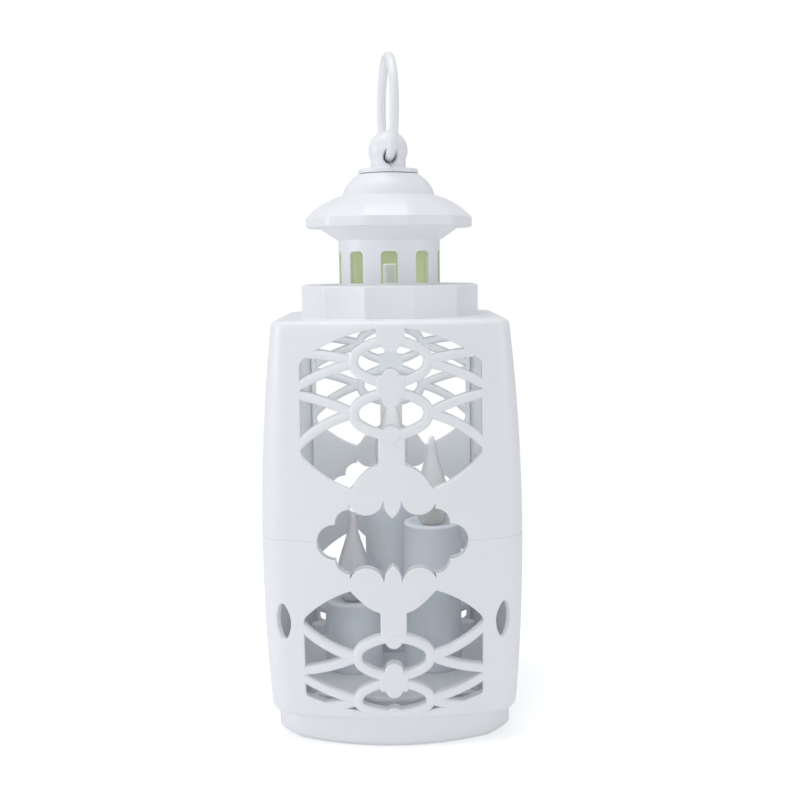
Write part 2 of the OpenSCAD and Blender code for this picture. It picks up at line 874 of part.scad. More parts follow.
// Twelve-sided brim and slope under a round dome.
module roof() {
    inner = brim_r * cos(15) - roof_wall;
    step = seat_r - 2;
    color("white") difference() {
        union() {
            intersection() {
                roof_side(0);
                roof_side(30);
                roof_side(60);
                roof_side(90);
                roof_side(120);
                roof_side(150);
            }
            rotate_extrude() {
                translate([0, dome_z - 1]) square([dome_r, 1 + eps]);
                intersection() {
                    bow([dome_r, dome_z], [flange_r, roof_top], dome_bulge);
                    translate([0, dome_z]) square([dome_r + 2, dome_h]);
                }
            }
        }
        translate([0, 0, brim_z - 1]) cylinder(r = seat_r + fit, h = seat_t + 1);
        translate([0, 0, brim_z]) cylinder(r = step, h = brim_h + eps);
        translate([0, 0, slope_z]) cylinder(r1 = step, r2 = dome_r - roof_wall, h = slope_h - roof_wall);
        translate([0, 0, dome_z - roof_wall - eps]) cylinder(r = dome_r - roof_wall, h = 2 + 2 * eps);
        translate([0, 0, dome_z - roof_wall + 2])
            cylinder(r1 = dome_r - roof_wall, r2 = flange_r - 1, h = dome_h - 2);
        cylinder(r = stem_r + ring_gap, h = 2 * far);
    }
}

// Passage for the ring: the surface the rod's inner side sweeps as the ring swings.
module ring_passage() {
    rotate([-90, 0, 0]) rotate_extrude() difference() {
        translate([0, -ball_r - 1]) square([ring_r - 4, 2 * ball_r + 2]);
        translate([ring_r, 0]) circle(ring_r - rod_d / 2 - ring_gap, $fn = 240);
    }
}

// Turned finial with its flange, neck and ball.
module finial() {
    seat = roof_top + fit;
    low = roof_top - roof_wall - fit / 2;
    difference() {
        rotate_extrude() {
            translate([0, low]) square([stem_r, seat - low + eps]);
            translate([0, seat]) square([flange_r - 0.6, flange_t]);
            translate([0, seat]) square([flange_r, flange_t - 0.6]);
            translate([flange_r - 0.6, seat + flange_t - 0.6]) circle(0.6);
            translate([0, seat]) square([neck_r, ball_z - seat - 3]);
            difference() {
                translate([0, seat + flange_t - eps]) square([neck_r + 1.6, 1.6]);
                translate([neck_r + 1.6, seat + flange_t + 1.6]) circle(1.6);
            }
            intersection() {
                translate([0, ball_z]) circle(ball_r);
                translate([0, ball_z - ball_r]) square([ball_r, 2 * ball_r]);
            }
        }
        translate([0, 0, pivot_z]) ring_passage();
        translate([0, 0, low - 1]) cylinder(d = screw_d + 2 * pin_gap, h = finial_screw_l + 1.5);
    }
}

module finial_half(side) {
    color("white") rotate([0, 0, ring_yaw]) intersection() {
        finial();
        translate([side > 0 ? 0 : -far, -far / 2, 0]) cube([far, far, 2 * far]);
    }
}

module finial_left() finial_half(-1);

module finial_right() finial_half(1);

// Screw with a wide head that holds the finial down and lets it turn.
module finial_screw() {
    translate([0, 0, roof_top - roof_wall - fit / 2]) {
        screw(finial_screw_l);
        color("silver") translate([0, 0, -washer_t]) difference() {
            cylinder(r = stem_r + 2, h = washer_t);
            translate([0, 0, -1]) cylinder(d = screw_d, h = washer_t + 2);
        }
    }
}

module hanging_ring() {
    color("white") translate([0, 0, pivot_z + ring_r]) rotate([0, 0, ring_yaw]) rotate([0, 90, 0])
        rotate_extrude() translate([ring_r, 0]) circle(d = rod_d);
}

base_tray();
battery_cover();
cell_front();
cell_middle();
cell_rear();
contacts_left();
contacts_right();
circuit_board();
timer_chip();
switch_case();
switch_knob();
base_screws();
candle_deck();
candle_left();
candle_right();
candle_rear();
flame_left();
flame_right();
flame_rear();
led_left();
led_right();
led_rear();
leads_left();
leads_right();
leads_rear();
lower_shell();
upper_shell();
collar();
collar_screw();
cupola();
roof();
finial_left();
finial_right();
finial_screw();
hanging_ring();
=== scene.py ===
import math
import bmesh
import bpy
from mathutils import Matrix, Vector


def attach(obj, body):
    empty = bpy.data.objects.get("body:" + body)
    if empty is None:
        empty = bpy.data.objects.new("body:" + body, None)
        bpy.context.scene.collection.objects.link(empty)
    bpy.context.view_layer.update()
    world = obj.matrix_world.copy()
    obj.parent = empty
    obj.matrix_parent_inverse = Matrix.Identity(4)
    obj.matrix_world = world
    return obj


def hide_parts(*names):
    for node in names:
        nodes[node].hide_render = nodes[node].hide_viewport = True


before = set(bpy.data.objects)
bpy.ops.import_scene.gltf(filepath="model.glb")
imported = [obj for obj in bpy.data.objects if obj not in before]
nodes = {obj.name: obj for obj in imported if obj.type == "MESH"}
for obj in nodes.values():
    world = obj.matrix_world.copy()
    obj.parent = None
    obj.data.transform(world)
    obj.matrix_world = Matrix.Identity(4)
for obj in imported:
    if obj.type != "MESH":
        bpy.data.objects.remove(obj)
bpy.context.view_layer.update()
mm = 0.001
hair = 0.01  # keeps two faces of a piece from lying in one plane, in millimetres
print("frame loaded:", len(nodes), "nodes")


# Camera at the photo's angle, a little above and close

camera = {
    "place": (0, -0.4656, 0.1915), "lens": 49.5, "down": 7.15, "right": 0.47, "roll": -0.62,
}


def makeCamera():
    data = bpy.data.cameras.new("camera")
    data.lens = camera["lens"]
    data.sensor_width = 36
    data.clip_start = 0.01
    obj = bpy.data.objects.new("camera", data)
    turn = Matrix.Rotation(math.radians(-camera["right"]), 4, "Z")
    tilt = Matrix.Rotation(math.radians(90 - camera["down"]), 4, "X")
    roll = Matrix.Rotation(math.radians(camera["roll"]), 4, "Z")
    obj.matrix_world = Matrix.Translation(camera["place"]) @ turn @ tilt @ roll
    bpy.context.scene.collection.objects.link(obj)
    bpy.context.scene.camera = obj


makeCamera()


# Materials

def newSocket(group, name, way, kind, value=None):
    socket = group.interface.new_socket(name=name, in_out=way, socket_type=kind)
    if value is not None:
        socket.default_value = value


mould = {
    "mottle": (22, 3), "grain": (900, 2), "wave": (60, 1),  # scale and detail of each noise
    "waveRough": 0.14, "waveHigh": 0.4, "bumpDeep": 0.0001,
}


def makeMouldedSkin():  # faint mottling, slow waves and fine grain of moulded plastic
    group = bpy.data.node_groups.new("mouldedSkin", "ShaderNodeTree")
    newSocket(group, "Base", "INPUT", "NodeSocketColor", (0.8, 0.8, 0.8, 1))
    newSocket(group, "Shade", "INPUT", "NodeSocketColor", (0.7, 0.7, 0.7, 1))
    newSocket(group, "Mottle", "INPUT", "NodeSocketFloat", 0.3)
    newSocket(group, "Gloss", "INPUT", "NodeSocketFloat", 0.35)
    newSocket(group, "Grain", "INPUT", "NodeSocketFloat", 900.0)
    newSocket(group, "Color", "OUTPUT", "NodeSocketColor")
    newSocket(group, "Roughness", "OUTPUT", "NodeSocketFloat")
    newSocket(group, "Height", "OUTPUT", "NodeSocketFloat")
    tree, links = group.nodes, group.links
    given = tree.new("NodeGroupInput")
    out = tree.new("NodeGroupOutput")
    where = tree.new("ShaderNodeTexCoord")
    clouds = []
    for scale, detail in (mould["mottle"], mould["grain"], mould["wave"]):
        cloud = tree.new("ShaderNodeTexNoise")
        cloud.inputs["Scale"].default_value = scale
        cloud.inputs["Detail"].default_value = detail
        links.new(where.outputs["Object"], cloud.inputs["Vector"])
        clouds.append(cloud)
    mottle, grain, wave = clouds
    links.new(given.outputs["Grain"], grain.inputs["Scale"])
    amount = tree.new("ShaderNodeMath")
    amount.operation = "MULTIPLY"
    links.new(mottle.outputs["Fac"], amount.inputs[0])
    links.new(given.outputs["Mottle"], amount.inputs[1])
    mix = tree.new("ShaderNodeMix")
    mix.data_type = "RGBA"
    links.new(amount.outputs[0], mix.inputs["Factor"])
    links.new(given.outputs["Base"], mix.inputs[6])
    links.new(given.outputs["Shade"], mix.inputs[7])
    links.new(mix.outputs[2], out.inputs["Color"])
    rough = tree.new("ShaderNodeMath")
    rough.operation = "MULTIPLY_ADD"
    rough.inputs[1].default_value = mould["waveRough"]
    links.new(wave.outputs["Fac"], rough.inputs[0])
    links.new(given.outputs["Gloss"], rough.inputs[2])
    links.new(rough.outputs[0], out.inputs["Roughness"])
    high = tree.new("ShaderNodeMath")
    high.operation = "MULTIPLY_ADD"
    high.inputs[1].default_value = mould["waveHigh"]
    links.new(wave.outputs["Fac"], high.inputs[0])
    links.new(grain.outputs["Fac"], high.inputs[2])
    links.new(high.outputs[0], out.inputs["Height"])
    return group


mouldedSkin = makeMouldedSkin()


def skinMaterial(name, base, shade, gloss=0.3, mottle=0.4, grain=900, bump=0.1, **sockets):
    material = bpy.data.materials.new(name)
    material.use_nodes = True
    tree, links = material.node_tree.nodes, material.node_tree.links
    shader = tree["Principled BSDF"]
    skin = tree.new("ShaderNodeGroup")
    skin.node_tree = mouldedSkin
    skin.inputs["Base"].default_value = (*base, 1)
    skin.inputs["Shade"].default_value = (*shade, 1)
    skin.inputs["Gloss"].default_value = gloss
    skin.inputs["Mottle"].default_value = mottle
    skin.inputs["Grain"].default_value = grain
    relief = tree.new("ShaderNodeBump")
    relief.inputs["Strength"].default_value = bump
    relief.inputs["Distance"].default_value = mould["bumpDeep"]
    links.new(skin.outputs["Color"], shader.inputs["Base Color"])
    links.new(skin.outputs["Roughness"], shader.inputs["Roughness"])
    links.new(skin.outputs["Height"], relief.inputs["Height"])
    links.new(relief.outputs["Normal"], shader.inputs["Normal"])
    for socket, value in sockets.items():
        shader.inputs[socket.replace("_", " ")].default_value = value
    return material


whitePlastic = skinMaterial("whitePlastic", (0.89, 0.905, 0.935), (0.86, 0.88, 0.915), gloss=0.33,
                            Coat_Weight=0.15, Coat_Roughness=0.2)
# painted shade: a darker pale green for the cupola's white inner wall, standing in for its shade and green
# cast
cupolaInnerShade = skinMaterial("cupolaInnerShade", (0.70, 0.78, 0.52), (0.66, 0.75, 0.48), gloss=0.45)
candlePlastic = skinMaterial("candlePlastic", (0.90, 0.90, 0.95), (0.86, 0.86, 0.93), gloss=0.36,
                             mottle=0.5, Subsurface_Weight=0.25, Subsurface_Scale=0.006)
flameSilicone = skinMaterial("flameSilicone", (0.96, 0.95, 0.97), (0.92, 0.92, 0.95), gloss=0.28,
                             Transmission_Weight=0.5, IOR=1.25)
lampEpoxy = skinMaterial("lampEpoxy", (0.93, 0.91, 0.78), (0.88, 0.86, 0.70), gloss=0.08,
                         Transmission_Weight=0.6, IOR=1.5)
nickel = skinMaterial("nickel", (0.62, 0.61, 0.58), (0.5, 0.49, 0.47), gloss=0.24, grain=2400, Metallic=1.0)
cellSleeve = skinMaterial("cellSleeve", (0.10, 0.13, 0.18), (0.07, 0.09, 0.13), gloss=0.22, Metallic=0.3)
boardMask = skinMaterial("boardMask", (0.02, 0.13, 0.05), (0.015, 0.09, 0.035), gloss=0.28)
chipResin = skinMaterial("chipResin", (0.02, 0.02, 0.022), (0.03, 0.03, 0.03), gloss=0.45, grain=3000)
print("materials made")


# Mesh helpers, all in millimetres until the piece is finished

def sharpEdges(bm, degrees):
    limit = math.radians(degrees)
    return [e for e in bm.edges if len(e.link_faces) == 2 and e.calc_face_angle(0) > limit]


def bevelEdges(bm, edges, offset, segments=3, clamp=True):
    bmesh.ops.bevel(bm, geom=edges, offset=offset, offset_type="OFFSET", segments=segments,
                    profile=0.5, affect="EDGES", clamp_overlap=clamp, material=-1)


def addMesh(bm, part):
    mesh = bpy.data.meshes.new("part")
    part.to_mesh(mesh)
    part.free()
    bm.from_mesh(mesh)
    bpy.data.meshes.remove(mesh)


def movedBy(bm, made, vec):
    verts = [g for g in made["geom"] if isinstance(g, bmesh.types.BMVert)]
    bmesh.ops.translate(bm, verts=verts, vec=vec)


def makeObject(name, bm, degrees=32):
    bmesh.ops.scale(bm, vec=(mm, mm, mm), verts=bm.verts)
    for face in bm.faces:
        face.smooth = True
    for edge in sharpEdges(bm, degrees):
        edge.smooth = False
    mesh = bpy.data.meshes.new(name)
    bm.to_mesh(mesh)
    bm.free()
    obj = bpy.data.objects.new(name, mesh)
    bpy.context.scene.collection.objects.link(obj)
    return obj


def applyModifiers(obj):
    graph = bpy.context.evaluated_depsgraph_get()
    mesh = bpy.data.meshes.new_from_object(obj.evaluated_get(graph))
    obj.modifiers.clear()
    obj.data = mesh


def subtract(obj, cutter):
    mod = obj.modifiers.new("cut", "BOOLEAN")
    mod.operation = "DIFFERENCE"
    mod.solver = "EXACT"
    mod.object = cutter
    applyModifiers(obj)
    bpy.data.objects.remove(cutter)


def settle(obj, node, materials, slot, rides):
    for material in materials:
        obj.data.materials.append(material)
    mod = obj.modifiers.new("weighNormals", "WEIGHTED_NORMAL")
    mod.keep_sharp = True
    applyModifiers(obj)
    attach(obj, rides)
    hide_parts(node)


# Flat drawing: x to the right, y the depth behind the face, z up

def circleArc(centre, radius, first, last, count=8):  # angles in degrees
    angles = [math.radians(first + (last - first) * i / count) for i in range(count + 1)]
    return [Vector((centre[0] + radius * math.cos(t), centre[1] + radius * math.sin(t))) for t in angles]


def arcBetween(centre, radius, start, end, clockwise=True, count=8):
    first = math.degrees(math.atan2(start[1] - centre[1], start[0] - centre[0]))
    last = math.degrees(math.atan2(end[1] - centre[1], end[0] - centre[0]))
    if clockwise and last > first:
        last -= 360
    if not clockwise and last < first:
        last += 360
    return circleArc(centre, radius, first, last, count)


def arc(start, end, bulge, count=10):  # bulge stands out to the right of the way
    a, b = Vector(start), Vector(end)
    chord = (b - a).length
    radius = (chord * chord / 4 + bulge * bulge) / (2 * bulge)
    right = Vector((b.y - a.y, a.x - b.x)) / chord
    centre = (a + b) / 2 - right * (radius - bulge)
    return arcBetween(centre, radius, a, b, False, count)


def meet(c1, r1, c2, r2, pick):  # the crossing of two circles that pick likes best
    a, b = Vector(c1), Vector(c2)
    d = (b - a).length
    along = (r1 * r1 - r2 * r2 + d * d) / (2 * d)
    off = math.sqrt(r1 * r1 - along * along)
    way = (b - a) / d
    side = Vector((-way.y, way.x))
    return max((a + way * along + side * off, a + way * along - side * off), key=pick)


def onCircle(centre, radius, x, up=True):  # point of the circle at x
    return Vector((x, centre[1] + (1 if up else -1) * math.sqrt(radius ** 2 - (x - centre[0]) ** 2)))


def oval(a, b, endRadius, count=10):  # ring outline of four arcs
    big = ((a - endRadius) ** 2 + b * b - endRadius ** 2) / (2 * (b - endRadius))
    turn = math.degrees(math.asin((a - endRadius) / (big - endRadius)))
    line = circleArc((0, b - big), big, 90 - turn, 90 + turn, count)[:-1]
    line += circleArc((endRadius - a, 0), endRadius, 90 + turn, 270 - turn, count)[:-1]
    line += circleArc((0, big - b), big, 270 - turn, 270 + turn, count)[:-1]
    return line + circleArc((a - endRadius, 0), endRadius, turn - 90, 90 - turn, count)[:-1]


def sweepBar(bm, path, width, front, back, rounding, closed=False):
    # rounded bar along a path in the drawing's plane
    seed = bmesh.new()
    half = width / 2
    corners = [(-half, front), (half, front), (half, back), (-half, back)]
    seed.faces.new([seed.verts.new((u, v, 0)) for u, v in corners])
    bmesh.ops.bevel(seed, geom=seed.verts[:], offset=rounding, offset_type="OFFSET", segments=4,
                    profile=0.5, affect="VERTICES", clamp_overlap=True, material=-1)
    seed.faces.ensure_lookup_table()
    section = [v.co.copy() for v in seed.faces[0].verts]
    seed.free()
    count = len(path)
    rings = []
    for i, point in enumerate(path):
        before = path[i - 1] if closed or i > 0 else point
        after = path[(i + 1) % count] if closed or i < count - 1 else point
        way = (after - before).normalized()
        side = Vector((way.y, -way.x))
        ring = [bm.verts.new((point.x + side.x * s.x, s.y, point.y + side.y * s.x)) for s in section]
        edges = [bm.edges.new((ring[k], ring[(k + 1) % len(ring)])) for k in range(len(ring))]
        rings.append((ring, edges))
    pairs = list(zip(rings, rings[1:])) + ([(rings[-1], rings[0])] if closed else [])
    for low, high in pairs:
        bmesh.ops.bridge_loops(bm, edges=low[1] + high[1])
    if not closed:
        bm.faces.new(rings[0][0])
        bm.faces.new(rings[-1][0])


def flatSolid(outline, front, back, isBorder, rounding, backRounding=0, shrink=0, fillets=()):
    # plate of the outline, rounded along its free edges, open along its borders except the low one
    part = bmesh.new()
    face = part.faces.new([part.verts.new((p.x, back, p.y)) for p in outline])
    if shrink:
        rim = bmesh.ops.inset_region(part, faces=[face], thickness=shrink, use_boundary=True)
        bmesh.ops.delete(part, geom=rim["faces"], context="FACES")
    grown = bmesh.ops.extrude_face_region(part, geom=part.faces[:])
    movedBy(part, grown, (0, front - back, 0))
    bmesh.ops.recalc_face_normals(part, faces=part.faces)
    for spot, radius in fillets:
        edges = [e for e in part.edges if all((v.co.xz - Vector(spot)).length < 0.01 for v in e.verts)]
        bevelEdges(part, edges, radius, 4)
    for depth, size in ((front, rounding), (back, backRounding)):
        edges = [e for e in part.edges if all(abs(v.co.y - depth) < 1e-5 for v in e.verts)
                 and not isBorder(e.verts)]
        if size:
            bevelEdges(part, edges, size, 3 if depth == front else 2, clamp=False)
    part.normal_update()
    ends = [f for f in part.faces if isBorder(f.verts) and abs(f.normal.y) < 0.5 and f.normal.z > -0.5]
    bmesh.ops.delete(part, geom=ends, context="FACES")
    return part


def cutGrid(bm, xs, zs):  # more edges, so that a flat piece can be bent
    for axis, values in ((0, xs), (2, zs)):
        for value in values:
            point, normal = Vector((0, 0, 0)), Vector((0, 0, 0))
            point[axis] = value
            normal[axis] = 1
            bmesh.ops.bisect_plane(bm, geom=bm.verts[:] + bm.edges[:] + bm.faces[:], dist=1e-4,
                                   plane_co=point, plane_no=normal)


def stepped(first, last, pitch):
    count = max(1, round((last - first) / pitch))
    return [first + (last - first) * i / count for i in range(1, count)]


# The barrel body's form

quarters = ((1, 1), (-1, 1), (1, -1), (-1, -1))  # signs of x and y
body = {
    "halfWidth": 52, "halfDepth": 54, "faceRadius": 150, "cornerRadius": 14,
    "barrelRadius": 780, "bellyZ": 76, "bottom": 12, "seam": 84.5, "top": 169.5,
    "wall": 2.4, "footRound": 3.5, "shoulderRound": 3.0, "straightX": 36, "seamChamfer": 0.28,
    "plateReach": {"upper": 5.0, "lower": 7.3},
    "rowPitch": 6, "facePitch": 4, "edgePitch": 3, "cornerPitch": 1.3, "sidePitch": 9, "curveRows": 6,
}
lean = math.asin((body["halfWidth"] - body["cornerRadius"]) / (body["faceRadius"] - body["cornerRadius"]))
frontEdge = body["faceRadius"] * math.sin(lean)
cornerY = ((body["faceRadius"] - body["cornerRadius"]) * math.cos(lean)
           - body["faceRadius"] + body["halfDepth"])
cornerEnd = frontEdge + body["cornerRadius"] * (math.pi / 2 - lean)
sideMiddle = cornerEnd + cornerY


def barrelInset(z):
    return body["barrelRadius"] - math.sqrt(body["barrelRadius"] ** 2 - (z - body["bellyZ"]) ** 2)


def edgeOf(half):  # height of the straight wall from the seam, and the rounding beyond it
    if half == "upper":
        return body["top"] - body["shoulderRound"] - body["seam"], body["shoulderRound"]
    return body["seam"] - body["bottom"] - body["footRound"], body["footRound"]


def skinEnd(half):
    edge, curve = edgeOf(half)
    return edge + curve * math.pi / 2 + body["plateReach"][half]


def skinPoint(u, depth, h, half):
    # u runs round the body from the middle of its front, h up or down from the seam
    way = 1 if half == "upper" else -1
    edge, curve = edgeOf(half)
    inset = barrelInset(body["seam"] + way * min(h, edge)) + depth
    level = h
    if h > edge:
        t = min((h - edge) / curve, math.pi / 2)
        level = edge + (curve - depth) * math.sin(t)
        inset = barrelInset(body["seam"] + way * edge) + curve - (curve - depth) * math.cos(t)
        inset += max(0, h - edge - curve * math.pi / 2)
    rho, r, straight = body["faceRadius"], body["cornerRadius"], body["straightX"]
    side = -1 if u < 0 else 1
    u = abs(u)
    if u <= frontEdge + 1e-6:
        x = u
        if u > straight:
            reach = (rho - inset) * math.sin(lean)
            x = straight + (u - straight) * (reach - straight) / (frontEdge - straight)
        y = rho - body["halfDepth"] - math.sqrt((rho - inset) ** 2 - x * x)
    elif u <= cornerEnd:
        t = lean + (u - frontEdge) / r
        x = body["halfWidth"] - r + (r - inset) * math.sin(t)
        y = -cornerY - (r - inset) * math.cos(t)
    else:
        x = body["halfWidth"] - inset
        y = -cornerY + u - cornerEnd
    return Vector((side * x, y, body["seam"] + way * level))


def bend(bm, half, signX, signY):
    for v in bm.verts:
        p = skinPoint(v.co.x, v.co.y, v.co.z, half)
        v.co = Vector((p.x * signX, p.y * signY, p.z))
    if signX * signY * (1 if half == "upper" else -1) < 0:
        bmesh.ops.reverse_faces(bm, faces=bm.faces)


# Outlines of the openwork, heights from the seam, the lower half a little squeezed

openwork = {
    "upper": {"squeeze": 1.0, "archTop": 82, "archSide": 69},
    "lower": {"squeeze": 0.93, "archTop": 69.3, "archSide": 62.7},
    "panel": 35, "depth": 5, "rim": 2, "rimFront": 1.1, "rimRound": 0.3, "rimLow": 0.3,
    "strand": 3.8, "strandEnd": 2.2,  # width, and how far a strand runs on under the wall
    "strands": [((3, 72.5), 69.6, 1), ((3, 58.6), 69, 1), ((3, 57), 49.6, 1), ((2.5, 35.6), 49.8, 2)],
    "eyes": (49.6, 69.4), "eyeWide": 12.4, "eyeHigh": 6.1, "eyeEnd": 5.2, "eyeProud": 0.35,
    "lowEye": 0.64,  # the last ring is flatter, to meet the foot's rounding
    "fanTop": 31, "fanRise": 10.6, "fanWide": 15.5,
    "lobe": (10.2, 10.65, 6.9), "petal": (4.5, 9.6, 6.6, 8),
    "notch": (22.4, 6.9), "bite": (16.6, 7.4, 5.5), "gateWide": 16.5,
    "bandOut": (36.5, 35.4), "bandIn": (15.3, 20.3), "bandBow": 2,
    "edgeRound": 0.6, "barRound": 1.35, "cornerRound": 1.3,
}


def archCircle(half):
    top, side = openwork[half]["archTop"], openwork[half]["archSide"]
    rise = top - side
    radius = (openwork["panel"] ** 2 + rise ** 2) / (2 * rise)
    return (0, top - radius), radius


def middleLine(half):  # edge of the middle opening from the seam to the petal's tip
    k = openwork[half]["squeeze"]
    notchX, notchR = openwork["notch"]
    biteX, biteZ, biteR = openwork["bite"]
    lobeX, lobeZ, lobeR = openwork["lobe"]
    petalX, petalZ, petalUp, petalR = openwork["petal"]
    notch, bite = (notchX, 0), (biteX, biteZ * k)
    lobe, petal = (lobeX, lobeZ * k + lobeR), (-petalX, petalZ * k + petalUp)
    gate = openwork["gateWide"]
    turnIn = meet(notch, notchR, bite, biteR, lambda p: p.x)
    lobeEnd = meet(lobe, lobeR, petal, petalR, lambda p: -p.y)
    tip = (0, petal[1] - math.sqrt(petalR ** 2 - petalX ** 2))
    line = arcBetween(notch, notchR, (notchX + notchR, 0), turnIn, False, 7)
    line += arcBetween(bite, biteR, turnIn, onCircle(bite, biteR, gate), False, 7)[1:]
    line += arcBetween(lobe, lobeR, onCircle(lobe, lobeR, gate, up=False), lobeEnd, True, 12)
    return line + arcBetween(petal, petalR, lobeEnd, tip, True, 5)[1:]


def fanLine(half, reach):
    # from the fan's top along its lobe and the band's bowed edge out to reach
    k = openwork[half]["squeeze"]
    lobeX, lobeZ, lobeR = openwork["lobe"]
    lobe = (lobeX, lobeZ * k + lobeR)
    rise = openwork["fanRise"] * k
    radius = (openwork["fanWide"] ** 2 + rise ** 2) / (2 * rise)
    top = openwork["fanTop"] * k
    fan = (0, top - radius)
    out = Vector((openwork["bandOut"][0], openwork["bandOut"][1] * k))
    inner = Vector((openwork["bandIn"][0], openwork["bandIn"][1] * k))
    chord = (out - inner).length
    bowR = (chord ** 2 / 4 + openwork["bandBow"] ** 2) / (2 * openwork["bandBow"])
    normal = Vector((inner.y - out.y, out.x - inner.x)) / chord
    bow = (out + inner) / 2 + normal * (bowR - openwork["bandBow"])
    shoulder = meet(fan, radius, lobe, lobeR, lambda p: p.x)
    corner = meet(lobe, lobeR, bow, bowR, lambda p: p.x)
    line = arcBetween(fan, radius, (0, top), shoulder, True, 9)
    line += arcBetween(lobe, lobeR, shoulder, corner, True, 7)[1:]
    return line + arcBetween(bow, bowR, corner, onCircle(bow, bowR, reach, up=False), False, 9)[1:]


def archLine(half, grow=0):
    centre, radius = archCircle(half)
    wide = openwork["panel"] + grow
    return arcBetween(centre, radius + grow, onCircle(centre, radius + grow, wide),
                      (0, openwork[half]["archTop"] + grow), False, 9)


# The leaf-shaped hole at each lower corner

leaf = {"u": frontEdge + 1.8, "h": 32.8, "halfLong": 7.3, "halfWide": 3.25, "tip": 1.5, "tilt": 3.0}


def leafSide(side):  # half of the leaf's outline, from its far tip to its tip by the seam
    turn = math.radians(90 - leaf["tilt"])
    rim = []
    for p in oval(leaf["halfLong"], leaf["halfWide"], leaf["tip"], 6):
        if p.y * side <= 1e-6:
            x = p.x * math.cos(turn) - p.y * math.sin(turn)
            z = p.x * math.sin(turn) + p.y * math.cos(turn)
            rim.append((-p.x, Vector((leaf["u"] - x, leaf["h"] + z))))
    return [p for _, p in sorted(rim, key=lambda pair: pair[0])]


def tiltLine(h):  # where the split through the leaf lies at this height
    return leaf["u"] - (h - leaf["h"]) * math.tan(math.radians(leaf["tilt"]))


def atEnds(half):  # a test for edges and faces on the quarter's own borders
    def test(verts):
        spots = [v.co for v in verts]
        return (all(abs(c.x) < 1e-3 for c in spots)
                or all(abs(c.x - sideMiddle) < 1e-3 for c in spots)
                or all(abs(c.z) < 1e-4 for c in spots)
                or all(abs(c.z - skinEnd(half)) < 1e-3 for c in spots)
                or half == "lower" and all(abs(c.x - tiltLine(c.z)) < 1e-3 for c in spots))
    return test


def skinQuarter(half):  # flat wall of a quarter of the shell with its openings
    high, test = skinEnd(half), atEnds(half)
    panel, wall, soft = openwork["panel"], body["wall"], openwork["edgeRound"]
    fan, arch = fanLine(half, panel), archLine(half)
    fillets = [(fan[-1], openwork["cornerRound"]), (arch[0], openwork["cornerRound"])]
    near = middleLine(half) + fan + arch + [Vector((0, high))]
    quarter = bmesh.new()
    if half == "upper":
        outline = near + [Vector((sideMiddle, high)), Vector((sideMiddle, 0))]
        addMesh(quarter, flatSolid(outline, 0, wall, test, soft, fillets=fillets))
    else:
        far, seam = [Vector((tiltLine(high), high))], [Vector((tiltLine(0), 0))]
        near += far + leafSide(1) + seam
        addMesh(quarter, flatSolid(near, 0, wall, test, soft, fillets=fillets))
        away = far + leafSide(-1) + seam + [Vector((sideMiddle, 0)), Vector((sideMiddle, high))]
        addMesh(quarter, flatSolid(away, 0, wall, test, soft))
        bmesh.ops.remove_doubles(quarter, verts=quarter.verts, dist=1e-4)
    edge, curve = edgeOf(half)
    straight, count = body["straightX"], body["curveRows"]
    rows = [body["seamChamfer"]] + stepped(0, edge, body["rowPitch"]) + [edge]
    rows += [edge + curve * math.pi / 2 * i / count for i in range(1, count + 1)]
    columns = stepped(0, straight, body["facePitch"]) + [straight]
    columns += stepped(straight, frontEdge, body["edgePitch"]) + [frontEdge]
    columns += stepped(frontEdge, cornerEnd, body["cornerPitch"]) + [cornerEnd]
    columns += stepped(cornerEnd, sideMiddle, body["sidePitch"])
    cutGrid(quarter, columns, rows)
    for v in quarter.verts:
        if abs(v.co.z) < 1e-4 and v.co.y < body["seamChamfer"]:
            v.co.y = body["seamChamfer"]
    return quarter


# The band and fan go on deeper than the wall, as the bars do

lining = {"front": 0.9, "past": 1.4, "round": 0.4, "shrink": 0.03, "cutTo": 36}


def liningQuarter(half):
    reach, shrink, cutTo = openwork["panel"] + lining["past"], lining["shrink"], lining["cutTo"]
    outline = middleLine(half) + fanLine(half, reach) + [Vector((reach, 0))]
    close = shrink + 0.001

    def test(verts):
        return all(v.co.x < close for v in verts) or all(v.co.z < close for v in verts)
    part = flatSolid(outline, lining["front"], openwork["depth"], test, 0, lining["round"], shrink)
    for v in part.verts:
        if v.co.x < close:
            v.co.x = 0
        if v.co.z < close:
            v.co.z = body["seamChamfer"] / 2
    cutGrid(part, stepped(0, cutTo, body["facePitch"]), stepped(0, cutTo, body["rowPitch"]))
    return part


# The openwork's bars, rings and clasps

clasps = {
    "ring": (56.2, 64.4, 51.9), "proud": 0.8,  # low and high edge, and the tongue's tip
    "arch": (75.7, 83.3, 73.1, -0.6), "foot": (69.7, 72.2, 66.9, -0.25),  # the same, and the front
    "width": 5.5, "step": 1.8, "cornerRound": 0.9, "frontRound": 0.7, "endRound": 0.3, "backRound": 0.4,
    "bump": (63.6, 3.4), "stemBump": (41.9, 3.4), "stemBumpFront": -0.42, "bumpRound": 0.6,
    "stem": (29.5, 42.8, 5.1), "cuts": (-2, 2),
}


def strandPaths(k):
    tip = openwork["eyeWide"] + openwork["strand"] / 2
    panel = openwork["panel"]
    for (past, start), end, bulge in openwork["strands"]:  # from past the panel's side to a ring's tip
        line = arc((panel + past, start * k), (tip, end * k), bulge, 14)
        yield [p for p in line if p.x < panel + openwork["strandEnd"]]


def claspOutline(low, high, tongue, wide, narrow):
    line = [Vector((wide, high)), Vector((-wide, high)), Vector((-wide, low)), Vector((-narrow, low))]
    line += circleArc((0, tongue + narrow), narrow, 190, 350, 10)
    return line + [Vector((narrow, low)), Vector((wide, low))]


def addPlate(bm, outline, front, back, rounding, corners=()):
    part = flatSolid(outline, front, back, lambda verts: False, rounding, clasps["backRound"], 0, corners)
    cutGrid(part, clasps["cuts"], ())
    addMesh(bm, part)


